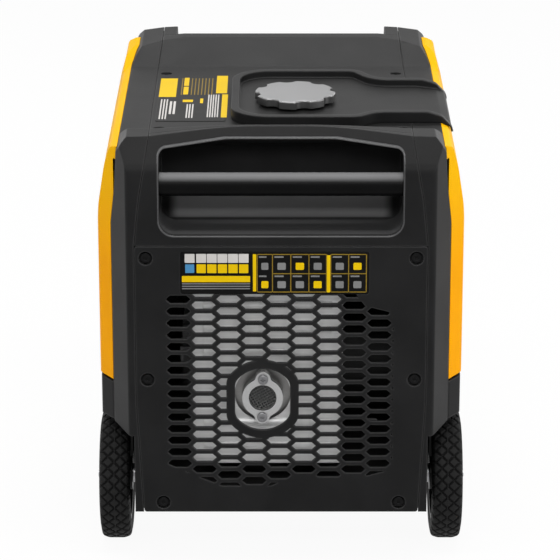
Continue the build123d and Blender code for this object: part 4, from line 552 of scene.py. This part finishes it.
def makeGrained(name, finish):
    material, tree, shader, place = newMaterial(name)
    links = tree.links
    grain = useGroup(tree, mouldGrain, (-1100, 200), Scale=finish["grain"])
    links.new(place, grain.inputs["Vector"])
    base = toneRamp(tree, grain.outputs[finish["led"]], finish["dark"], finish["light"], (-700, 200))
    links.new(base, shader.inputs["Base Color"])
    links.new(spread(tree, grain.outputs["Mottle"], *finish["rough"], (-450, 0)), shader.inputs["Roughness"])
    if finish["depth"]:
        addGrainBump(tree, shader, grain, finish["depth"])
    setInputs(shader, finish["surface"])
    return material


finishes = {}
for name, finish in plasticFinishes.items():
    finishes[name] = makePlastic(name, finish)
for name, finish in metalFinishes.items():
    finishes[name] = makeMetal(name, finish)
for name, finish in grainFinishes.items():
    finishes[name] = makeGrained(name, finish)
finishes["tyreRubber"] = makeTyreRubber(rubberFinish)
print("finishes made:", len(finishes))

# which finish each part of the frame wears
nodeFinish = {
    "rear_panel": "caseBlack", "rear_hood": "hoodBlackLitRecess", "top_cover": "caseBlack", "front_hood": "caseBlack",
    "left_side_frame": "caseBlack", "right_side_frame": "caseBlack", "front_panel": "caseBlack",
    "left_side_cover": "coverYellow", "right_side_cover": "coverYellow", "label_plates": "labelFilm",
    "panel_screws": "tubePaint", "top_cover_screws": "tubePaint", "flange_screws": "zincScrew",
    "rear_grip_bar": "gripPaintLitTop", "pull_handle": "tubePaint", "handle_guides": "zincAxle",
    "handle_sleeve": "softRubber", "handle_button": "coverYellow", "base_tray": "chassisPaint",
    "front_legs": "chassisPaint", "foot_pads": "softRubber", "axle": "zincAxle", "axle_nuts": "zincAxle",
    "left_rim": "rimBlack", "right_rim": "rimBlack", "left_tyre": "tyreRubber", "right_tyre": "tyreRubber",
    "drip_tray": "caseBlack", "fuel_tank": "caseBlack", "cap_gasket": "softRubber", "fuel_cap": "capAlloy",
    "muffler": "mufflerSteel", "muffler_shield": "shieldSteel", "exhaust_flange": "flangeSteel",
    "spark_screen": "screenWire", "engine_mounts": "softRubber", "crankcase": "castAlloy",
    "cylinder": "castAlloy", "valve_cover": "chassisPaint", "carburettor": "castAlloy",
    "air_filter_box": "rimBlack", "crankshaft": "rotorIron", "flywheel_rotor": "rotorIron",
    "stator": "copperCoil", "fan_shroud": "rimBlack", "recoil_reel": "controlGrey",
    "recoil_rope": "ropeBraid", "recoil_grip": "softRubber", "inverter_module": "castAlloy",
    "control_plate": "controlGrey",
    "display": "displayWindow", "engine_switch": "knobRed", "start_button": "buttonGreen",
    "eco_switch": "rimBlack", "outlet_sockets": "rimBlack", "left_socket_lid": "softRubber",
    "right_socket_lid": "softRubber", "left_breaker": "buttonWhite", "right_breaker": "buttonWhite",
    "ground_terminal": "brassStud",
}


def dressNode(node, finish):
    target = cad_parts[node]
    if not target.material_slots:
        target.data.materials.append(finishes[finish])
    for slot in target.material_slots:
        slot.material = finishes[finish]


for node, finish in nodeFinish.items():
    dressNode(node, finish)
print("frame dressed:", len(nodeFinish), "nodes")


def newPiece(shape, name, finish, smooth=True):
    mesh = bpy.data.meshes.new(name)
    shape.to_mesh(mesh)
    shape.free()
    for face in mesh.polygons:
        face.use_smooth = smooth
    piece = bpy.data.objects.new(name, mesh)
    scene.collection.objects.link(piece)
    mesh.materials.append(finishes[finish])
    return piece


def finishPiece(shape, name, finish, body, smooth=True):
    piece = newPiece(shape, name, finish, smooth)
    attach(piece, body)
    return piece


# tyres with a diamond tread either side of a thin centre rib
tyreShape = {
    "profile": [
        (174, 54.05), (206, 54.05), (208, 62), (206, 72.5), (199, 75), (181, 75), (174, 72.5), (172, 62),
    ],
    "round": 2.4,
    "axleY": -172.0,
    "axleZ": 75.0,
    "centreX": 190.0,
    "blocks": 34,
    "blockSteps": 18,
    "blockWidth": 14.0,
    "slant": 0.7071,
    "groove": 1.15,
    "grooveFloor": 0.55,
    "grooveSide": 0.7,
    "depth": 2.0,
    "treadStart": 66.0,
    "treadBlend": 2.5,
    "treadStep": 0.65,
    "wallStep": 4.0,
    "rib": 0.7,
    "ribDepth": 0.15,
}


def makeTyre(name, node, body, side, setup):
    shape = bmesh.new()
    corners = [
        shape.verts.new((side * x * mm, setup["axleY"] * mm, (setup["axleZ"] + r) * mm))
        for x, r in setup["profile"]
    ]
    shape.faces.new(corners)
    bmesh.ops.bevel(
        shape, geom=corners, offset=setup["round"] * mm, offset_type="OFFSET", affect="VERTICES",
        segments=5, profile=0.5, material=-1,
    )
    bmesh.ops.delete(shape, geom=shape.faces[:], context="FACES_ONLY")
    treadHeight = (setup["axleZ"] + setup["treadStart"]) * mm
    for edge in shape.edges[:]:
        high = max(vert.co.z for vert in edge.verts) > treadHeight
        cuts = int(edge.calc_length() / (setup["treadStep" if high else "wallStep"] * mm))
        if cuts > 0:
            bmesh.ops.subdivide_edges(shape, edges=[edge], cuts=cuts)
    # one block of tread, then the rest of the ring from copies of it
    centre = Vector((0, setup["axleY"] * mm, setup["axleZ"] * mm))
    blockTurn = 2 * math.pi / setup["blocks"]
    bmesh.ops.spin(
        shape, geom=shape.verts[:] + shape.edges[:], cent=centre, axis=(1, 0, 0), angle=blockTurn,
        steps=setup["blockSteps"], use_merge=False, use_duplicate=False,
    )
    tread = shape.verts.layers.float.new("tread")
    pitch = blockTurn * setup["axleZ"]
    for vert in shape.verts:
        out = Vector((0, vert.co.y - centre.y, vert.co.z - centre.z))
        radius = out.length / mm
        across = abs(abs(vert.co.x) / mm - setup["centreX"])
        if radius < setup["treadStart"]:
            continue
        turn = math.atan2(out.z, out.y) / blockTurn
        first = turn + across / setup["blockWidth"]
        second = turn - across / setup["blockWidth"]
        reach = min(abs(first - round(first)), abs(second - round(second))) * pitch * setup["slant"]
        climb = (reach - setup["groove"] * setup["grooveFloor"]) / (setup["groove"] * setup["grooveSide"])
        deep = 1.0 - min(1.0, max(0.0, climb))
        if across < setup["rib"]:
            deep *= setup["ribDepth"]
        deep *= min(1.0, (radius - setup["treadStart"]) / setup["treadBlend"])
        vert[tread] = deep
        vert.co -= out.normalized() * deep * setup["depth"] * mm
    bmesh.ops.spin(
        shape, geom=shape.verts[:] + shape.edges[:] + shape.faces[:], cent=centre, axis=(1, 0, 0),
        angle=blockTurn * (setup["blocks"] - 1), steps=setup["blocks"] - 1,
        use_merge=False, use_duplicate=True,
    )
    bmesh.ops.remove_doubles(shape, verts=shape.verts[:], dist=0.00001)
    bmesh.ops.recalc_face_normals(shape, faces=shape.faces[:])
    piece = finishPiece(shape, name, "tyreRubber", body)
    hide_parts(node)
    print(name, len(piece.data.polygons), "faces")


makeTyre("leftTreadTyre", "left_tyre", "left_wheel", -1, tyreShape)
makeTyre("rightTreadTyre", "right_tyre", "right_wheel", 1, tyreShape)

# starter rope: three strands laid together, stretched between the reel and the grip
ropeShape = {
    "x": 122.0, "z": 127.8, "startY": -45.0, "endY": 233.0,
    "radius": 1.75, "strands": 3, "lobe": 0.11, "sides": 18, "steps": 200, "turns": 24,
}


def makeRope(setup):
    shape = bmesh.new()
    made = bmesh.ops.create_circle(shape, cap_ends=False, segments=setup["sides"], radius=setup["radius"] * mm)
    ring = made["verts"]
    for index, vert in enumerate(ring):
        swell = 1.0 + setup["lobe"] * math.cos(setup["strands"] * 2 * math.pi * index / len(ring))
        vert.co *= swell
    turn = Matrix.Rotation(math.radians(-90), 4, "X")
    start = Vector((setup["x"], setup["startY"], setup["z"])) * mm
    bmesh.ops.transform(shape, matrix=Matrix.Translation(start) @ turn, verts=ring)
    length = (setup["endY"] - setup["startY"]) * mm
    bmesh.ops.spin(
        shape, geom=shape.verts[:] + shape.edges[:], cent=(setup["x"] * mm, 0, setup["z"] * mm),
        axis=(0, 1, 0), dvec=(0, length / setup["steps"], 0), angle=2 * math.pi * setup["turns"],
        steps=setup["steps"], use_merge=False, use_duplicate=False,
    )
    bmesh.ops.holes_fill(shape, edges=[edge for edge in shape.edges if edge.is_boundary], sides=0)
    bmesh.ops.recalc_face_normals(shape, faces=shape.faces[:])
    piece = newPiece(shape, "starterRope", "ropeBraid")
    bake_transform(piece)
    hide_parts("recoil_rope")


makeRope(ropeShape)
print("starter rope laid")

# woven spark screen behind the outlet flange
screenShape = {
    "x": -20.6, "z": 202.4, "y": -254.3, "radius": 18.4, "rimGap": 0.3, "shortest": 1.0,
    "wire": 0.50, "sides": 5, "pitch": 3.2, "turn": 30.0, "wave": 0.26,
}


def makeScreen(setup):
    shape = bmesh.new()
    count = int(setup["radius"] / setup["pitch"])
    for lay in (0, 1):
        for index in range(-count, count + 1):
            offset = index * setup["pitch"]
            half = math.sqrt(max(0.0, setup["radius"] ** 2 - offset ** 2)) - setup["rimGap"]
            if half < setup["shortest"]:
                continue
            steps = max(4, int(2 * half / (setup["pitch"] / 3)))
            wire = bmesh.new()
            bmesh.ops.create_circle(wire, cap_ends=True, segments=setup["sides"], radius=setup["wire"])
            lying = Matrix.Rotation(math.radians(90), 3, "Y")
            bmesh.ops.rotate(wire, cent=(0, 0, 0), matrix=lying, verts=wire.verts[:])
            bmesh.ops.translate(wire, vec=(-half, offset, 0), verts=wire.verts[:])
            bmesh.ops.spin(
                wire, geom=wire.faces[:], cent=(0, 0, 0), axis=(0, 0, 1), dvec=(2 * half / steps, 0, 0),
                angle=0.0, steps=steps, use_merge=False, use_duplicate=False,
            )
            side = -1 if (index + lay) % 2 else 1
            for vert in wire.verts:
                vert.co.z += side * setup["wave"] * math.cos(math.pi * vert.co.x / setup["pitch"])
            crossed = Matrix.Rotation(math.radians(90 * lay), 3, "Z")
            bmesh.ops.rotate(wire, cent=(0, 0, 0), matrix=crossed, verts=wire.verts[:])
            strand = bpy.data.meshes.new("strand")
            wire.to_mesh(strand)
            wire.free()
            shape.from_mesh(strand)
            bpy.data.meshes.remove(strand)
    turn = Matrix.Rotation(math.radians(90), 4, "X") @ Matrix.Rotation(math.radians(setup["turn"]), 4, "Z")
    middle = Vector((setup["x"], setup["y"], setup["z"])) * mm
    place = Matrix.Translation(middle) @ turn @ Matrix.Scale(mm, 4)
    bmesh.ops.transform(shape, matrix=place, verts=shape.verts[:])
    bmesh.ops.recalc_face_normals(shape, faces=shape.faces[:])
    piece = finishPiece(shape, "wovenScreen", "screenWire", "housing")
    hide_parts("spark_screen")
    print("woven screen", len(piece.data.polygons), "faces")


makeScreen(screenShape)

# foam sheet behind the front intake grille
foamShape = {"x": (-134.0, 74.0), "z": (89.0, 167.0), "y": (255.0, 261.6), "round": 1.6}


def makeIntakeFoam(setup):
    shape = bmesh.new()
    made = bmesh.ops.create_cube(shape, size=1.0)["verts"]
    middle = [(setup[axis][0] + setup[axis][1]) / 2 * mm for axis in "xyz"]
    size = [(setup[axis][1] - setup[axis][0]) * mm for axis in "xyz"]
    bmesh.ops.scale(shape, vec=size, verts=made)
    bmesh.ops.translate(shape, vec=middle, verts=made)
    bmesh.ops.bevel(
        shape, geom=shape.edges[:], offset=setup["round"] * mm, offset_type="OFFSET", affect="EDGES",
        segments=3, profile=0.5, material=-1,
    )
    finishPiece(shape, "intakeFoam", "filterFoam", "housing")


makeIntakeFoam(foamShape)
print("intake foam set")

# dark lap strips behind the long seams of the top and of both ends, so that no daylight shows through them
lapStrip = {
    "thick": 0.8,
    "topInner": 141.0,
    "topWide": 11.0,
    "topLine": [
        (-260.0, 469.0), (-236.0, 496.4), (-208.0, 496.4), (-179.5, 481.8),
        (113.5, 481.8), (169.5, 500.6), (231.5, 500.6), (260.0, 469.0),
    ],
    "endPlace": 257.0,
    "endWide": 10.0,
    "endLine": [(162.0, 381.0), (162.0, 200.0), (155.0, 67.0)],
}


def makeLapStrip(name, points, wide, setup):
    shape = bmesh.new()
    row = [shape.verts.new((x * mm, y * mm, z * mm)) for x, y, z in points]
    edges = [shape.edges.new(pair) for pair in zip(row, row[1:])]
    made = bmesh.ops.extrude_edge_only(shape, edges=edges)["geom"]
    far = [part for part in made if isinstance(part, bmesh.types.BMVert)]
    bmesh.ops.translate(shape, vec=(wide * mm, 0, 0), verts=far)
    bmesh.ops.recalc_face_normals(shape, faces=shape.faces[:])
    bmesh.ops.solidify(shape, geom=shape.faces[:], thickness=setup["thick"] * mm)
    bmesh.ops.recalc_face_normals(shape, faces=shape.faces[:])
    finishPiece(shape, name, "rimBlack", "housing", smooth=False)


def makeLapStrips(setup):
    for label, side in (("left", -1), ("right", 1)):
        top = [(side * setup["topInner"], y, z) for y, z in setup["topLine"]]
        makeLapStrip(label + "TopStrip", top, side * setup["topWide"], setup)
        for place, end in (("Rear", -1), ("Front", 1)):
            upright = [
                (side * (x - setup["endWide"] / 2), end * setup["endPlace"], z) for x, z in setup["endLine"]
            ]
            makeLapStrip(label + place + "Strip", upright, side * setup["endWide"], setup)


makeLapStrips(lapStrip)
print("lap strips set")

# pale lip bead around the rear hand recess, let into the rounded edge of the hood; its pale tone is a painted
# highlight along the rounded lip
recessLip = {
    "corners": [(137.2, 391.8, 20.2), (137.2, 491.6, 9.9), (60.2, 501.2, 4.0)],
    "wide": 3.2,
    "clear": 0.06,
    "round": 1.55,
    "faceY": -265.0,
    "shoulderZ": 465.6,
    "shoulderRound": 16.0,
    "shoulderRise": 11.0,
    "longEdge": 20.0,
    "close": 0.01,
    "cuts": 24,
    "slopeZ": 472.0,
    "slopeGrade": 1.0526,
}


# how far the hood's face stands back at a height
def hoodSetback(z, setup):
    rise = z - setup["shoulderZ"]
    if rise <= 0:
        return 0.0
    if rise < setup["shoulderRise"]:
        return setup["shoulderRound"] - math.sqrt(setup["shoulderRound"] ** 2 - rise ** 2)
    return (z - setup["slopeZ"]) / setup["slopeGrade"]


def spotOf(vert):
    return round(vert.co.x, 6), round(vert.co.z, 6)


def makeRecessLip(setup):
    shape = bmesh.new()
    front = (setup["faceY"] + setup["clear"]) * mm
    ring = setup["corners"] + [(-x, z, cut) for x, z, cut in reversed(setup["corners"])]
    verts = [shape.verts.new((x * mm, front, z * mm)) for x, z, cut in ring]
    shape.faces.new(verts)
    for vert, (x, z, cut) in zip(verts, ring):
        bmesh.ops.bevel(
            shape, geom=[vert], offset=cut * mm, offset_type="OFFSET", affect="VERTICES",
            segments=8, profile=0.5, material=-1,
        )
    long = [edge for edge in shape.edges if edge.calc_length() > setup["longEdge"] * mm]
    bmesh.ops.subdivide_edges(shape, edges=long, cuts=setup["cuts"])
    shape.faces.ensure_lookup_table()
    middle = shape.faces[0]
    bmesh.ops.inset_region(
        shape, faces=[middle], thickness=(setup["wide"] - setup["clear"]) * mm,
        use_even_offset=True, use_boundary=True,
    )
    inner = {spotOf(vert) for vert in middle.verts}
    bmesh.ops.delete(shape, geom=[middle], context="FACES_ONLY")
    bmesh.ops.solidify(shape, geom=shape.faces[:], thickness=setup["wide"] * mm)
    near = min(vert.co.y for vert in shape.verts)
    bmesh.ops.translate(shape, vec=(0, front - near, 0), verts=shape.verts[:])
    bmesh.ops.recalc_face_normals(shape, faces=shape.faces[:])
    rim = [
        edge for edge in shape.edges
        if all(abs(vert.co.y - front) < setup["close"] * mm and spotOf(vert) in inner for vert in edge.verts)
    ]
    bmesh.ops.bevel(
        shape, geom=rim, offset=setup["round"] * mm, offset_type="OFFSET", affect="EDGES",
        segments=5, profile=0.5, material=-1,
    )
    for vert in shape.verts:
        vert.co.y += hoodSetback(vert.co.z / mm, setup) * mm
    piece = finishPiece(shape, "recessLip", "lipHighlight", "housing")
    print("recess lip", len(rim), "rim edges,", len(piece.data.polygons), "faces")


makeRecessLip(recessLip)

# print on the bare label plates: plain blocks, bars and empty cells
rearPrint = {
    "y": -264.9,
    "thick": 0.05,
    "round": 0.6,
    "printPale": [(x, 369.0, 11.0, 10.4) for x in (-100.7, -88.0, -76.3, -64.6, -52.9, -41.2)],
    "printBlue": [(-100.7, 357.0, 10.0, 10.0)],
    "printYellow": [(x, 357.0, 10.2, 10.2) for x in (-88.0, -76.3, -64.6, -52.9, -41.2)]
    + [(-71.8, 344.9, 75.4, 7.2), (-29.2, 352.2, 3.6, 43.4), (52.4, 351.0, 3.8, 43.4)],
    "printGrey": [(-71.8, z, 75.4, 1.3) for z in (339.4, 336.5, 333.7)],
}


def addBlock(shape, centre, size, rounding):
    made = bmesh.ops.create_cube(shape, size=1.0)["verts"]
    bmesh.ops.scale(shape, vec=size, verts=made)
    bmesh.ops.translate(shape, vec=centre, verts=made)
    thinAxis = min(range(3), key=lambda axis: size[axis])
    upright = [
        edge for edge in {edge for vert in made for edge in vert.link_edges}
        if abs((edge.verts[0].co - edge.verts[1].co).normalized()[thinAxis]) > 0.9
    ]
    wide = sorted(size)[1]
    bmesh.ops.bevel(
        shape, geom=upright, offset=min(rounding, wide * 0.45), offset_type="OFFSET", affect="EDGES",
        segments=3, profile=0.5, material=-1,
    )


def makeRearPrint(setup):
    for ink in ("printPale", "printBlue", "printYellow", "printGrey"):
        shape = bmesh.new()
        for x, z, wide, high in setup[ink]:
            centre = (x * mm, (setup["y"] - setup["thick"] / 2) * mm, z * mm)
            addBlock(shape, centre, (wide * mm, setup["thick"] * mm, high * mm), setup["round"] * mm)
        finishPiece(shape, "rearLabel" + ink[5:], ink, "housing", smooth=False)


makeRearPrint(rearPrint)

# two rows of empty cells beside the bars, each with a short header bar and one plain block
cellPrint = {
    "y": -264.9,
    "thick": 0.05,
    "line": 1.0,
    "columns": [(-26.3, -9.4), (-9.4, 10.8), (10.8, 30.8), (30.8, 50.2), (54.9, 74.6), (74.6, 94.2)],
    "rows": [(329.8, 351.2), (351.2, 373.6)],
    "lineRound": 0.1,
    "head": {"middle": 0.36, "drop": 3.0, "wide": 0.5, "high": 1.8, "round": 0.3},
    "block": {"rise": 8.6, "wide": 0.46, "high": 8.2, "round": 1.2},
    "yellowEvery": 3,
}


def makeCells(setup):
    lines = bmesh.new()
    heads = bmesh.new()
    blocks = bmesh.new()
    middle = setup["y"] - setup["thick"] / 2
    line = setup["line"]
    head = setup["head"]
    block = setup["block"]
    low, high = setup["rows"][0][0], setup["rows"][-1][1]
    shared = setup["rows"][0][1]

    def addInk(shape, x, z, wide, tall, rounding):
        centre = (x * mm, middle * mm, z * mm)
        addBlock(shape, centre, (wide * mm, setup["thick"] * mm, tall * mm), rounding * mm)

    for x in sorted({x for pair in setup["columns"] for x in pair}):
        addInk(lines, x, (low + high) / 2, line, high - low, setup["lineRound"])
    for z in (low, shared, high):
        for left, right in setup["columns"]:
            if z == shared and left == setup["columns"][0][0]:
                continue
            addInk(lines, (left + right) / 2, z, right - left - line, line, setup["lineRound"])
    for number, (left, right) in enumerate(setup["columns"]):
        wide = right - left
        for row, (bottom, top) in enumerate(setup["rows"]):
            headX = left + head["middle"] * wide
            addInk(heads, headX, top - head["drop"], head["wide"] * wide, head["high"], head["round"])
            target = blocks if (number + row) % setup["yellowEvery"] == 0 else heads
            blockZ = bottom + block["rise"]
            addInk(target, (left + right) / 2, blockZ, block["wide"] * wide, block["high"], block["round"])
    finishPiece(lines, "rearLabelLines", "printOchre", "housing", smooth=False)
    finishPiece(heads, "rearLabelHeads", "printGrey", "housing", smooth=False)
    finishPiece(blocks, "rearLabelBlocks", "printYellow", "housing", smooth=False)


makeCells(cellPrint)

topPrint = {
    "z": 486.4,
    "thick": 0.05,
    "round": 0.6,
    "printYellow": [
        (-132.5, 17.0, 20.0, 82.0), (-111.6, 43.0, 5.8, 36.0), (-111.6, 4.0, 5.8, 34.0),
        (-69.6, 31.0, 13.0, 78.0), (-65.2, -62.0, 6.8, 98.0), (-108.0, -41.0, 12.0, 10.0),
        (-92.0, -41.0, 3.6, 20.0),
    ],
    "printPale": [(x, -76.0, 1.6, 84.0) for x in (-138.4, -135.0, -131.7)]
    + [(x, -70.0, 2.6, 54.0) for x in (-127.2, -122.8)]
    + [(x, -84.0, 1.6, 58.0) for x in (-108.0, -104.9, -101.6)]
    + [(x, -62.0, 1.5, 96.0) for x in (-84.0, -81.2, -78.4, -75.5, -72.6)],
    "printOchre": [(x, 22.0, 1.2, 74.0) for x in (-116.6, -105.0, -101.0, -97.0, -93.0, -89.0, -85.0, -81.0)],
}


def makeTopPrint(setup):
    for ink in ("printYellow", "printPale", "printOchre"):
        shape = bmesh.new()
        for x, y, wide, long in setup[ink]:
            centre = (x * mm, y * mm, (setup["z"] + setup["thick"] / 2) * mm)
            addBlock(shape, centre, (wide * mm, long * mm, setup["thick"] * mm), setup["round"] * mm)
        finishPiece(shape, "topLabel" + ink[5:], ink, "housing", smooth=False)


makeTopPrint(topPrint)
print("label print laid")

# floor, world and lamps
stageSetup = {"half": 12.0, "floor": (0.82, 0.82, 0.82), "glow": 0.94, "world": 0.2}


# rays that show the backdrop: straight to the camera, mirrored or through glass
def seenRay(tree):
    path = addNode(tree, "ShaderNodeLightPath", (-700, 300))
    rays = path.outputs
    mirrored = mathNode(tree, "MAXIMUM", rays["Is Camera Ray"], rays["Is Glossy Ray"], (-500, 300))
    return mathNode(tree, "MAXIMUM", mirrored, rays["Is Transmission Ray"], (-350, 300))


def makeFloor(setup):
    shape = bmesh.new()
    bmesh.ops.create_grid(shape, x_segments=8, y_segments=8, size=setup["half"])
    mesh = bpy.data.meshes.new("studioFloor")
    shape.to_mesh(mesh)
    shape.free()
    floor = bpy.data.objects.new("studioFloor", mesh)
    scene.collection.objects.link(floor)
    material = bpy.data.materials.new("studioFloor")
    material.use_nodes = True
    tree = material.node_tree
    shader = tree.nodes["Principled BSDF"]
    setInputs(shader, {"Base Color": (*setup["floor"], 1.0), "Roughness": 0.9, "Specular IOR Level": 0.1})
    glow = addNode(tree, "ShaderNodeEmission", (0, -250))
    setInputs(glow, {"Color": (1.0, 1.0, 1.0, 1.0), "Strength": 1.0})
    share = mathNode(tree, "MULTIPLY", seenRay(tree), setup["glow"], (-150, 300))
    mix = addNode(tree, "ShaderNodeMixShader", (250, 0))
    tree.links.new(share, mix.inputs["Fac"])
    tree.links.new(shader.outputs["BSDF"], mix.inputs[1])
    tree.links.new(glow.outputs["Emission"], mix.inputs[2])
    tree.links.new(mix.outputs["Shader"], tree.nodes["Material Output"].inputs["Surface"])
    mesh.materials.append(material)


def makeWorld(setup):
    world = bpy.data.worlds.new("studioWorld")
    world.use_nodes = True
    scene.world = world
    tree = world.node_tree
    plain = tree.nodes["Background"]
    setInputs(plain, {"Color": (1.0, 1.0, 1.0, 1.0), "Strength": setup["world"]})
    white = addNode(tree, "ShaderNodeBackground", (0, -200))
    setInputs(white, {"Color": (1.0, 1.0, 1.0, 1.0), "Strength": 1.0})
    mix = addNode(tree, "ShaderNodeMixShader", (250, 0))
    tree.links.new(seenRay(tree), mix.inputs["Fac"])
    tree.links.new(plain.outputs["Background"], mix.inputs[1])
    tree.links.new(white.outputs["Background"], mix.inputs[2])
    tree.links.new(mix.outputs["Shader"], tree.nodes["World Output"].inputs["Surface"])


makeFloor(stageSetup)
makeWorld(stageSetup)

lamps = {
    "frontSoftbox": {
        "place": (0.0, -2.4, 1.9), "aim": (0.0, -0.25, 0.4), "size": (1.8, 0.5), "power": 27.0,
    },
    "topSoftbox": {
        "place": (0.0, -0.75, 2.35), "aim": (0.0, -0.2, 0.45), "size": (1.6, 0.3), "power": 24.0,
    },
    "backTopSoftbox": {
        "place": (0.0, 1.55, 2.4), "aim": (0.0, 0.15, 0.5), "size": (1.6, 0.5), "power": 29.0,
    },
    "leftSoftbox": {
        "place": (-2.2, -0.7, 1.0), "aim": (0.0, 0.0, 0.25), "size": (1.2, 1.8), "power": 10.0,
    },
    "rightSoftbox": {
        "place": (2.2, -0.7, 1.0), "aim": (0.0, 0.0, 0.25), "size": (1.2, 1.8), "power": 22.0,
    },
    "leftFarSoftbox": {
        "place": (-1.7, 2.3, 1.0), "aim": (0.0, 0.2, 0.25), "size": (1.0, 1.4), "power": 13.0,
    },
    "rightFarSoftbox": {
        "place": (1.7, 2.3, 1.0), "aim": (0.0, 0.2, 0.25), "size": (1.0, 1.4), "power": 13.0,
    },
}


def makeLamp(name, setup):
    data = bpy.data.lights.new(name, "AREA")
    data.shape = "RECTANGLE"
    data.size, data.size_y = setup["size"]
    data.energy = setup["power"]
    lamp = bpy.data.objects.new(name, data)
    scene.collection.objects.link(lamp)
    lamp.location = setup["place"]
    sight = Vector(setup["aim"]) - Vector(setup["place"])
    lamp.rotation_euler = sight.to_track_quat("-Z", "Y").to_euler()


for name, setup in lamps.items():
    makeLamp(name, setup)
print("studio lit:", len(lamps), "lamps")
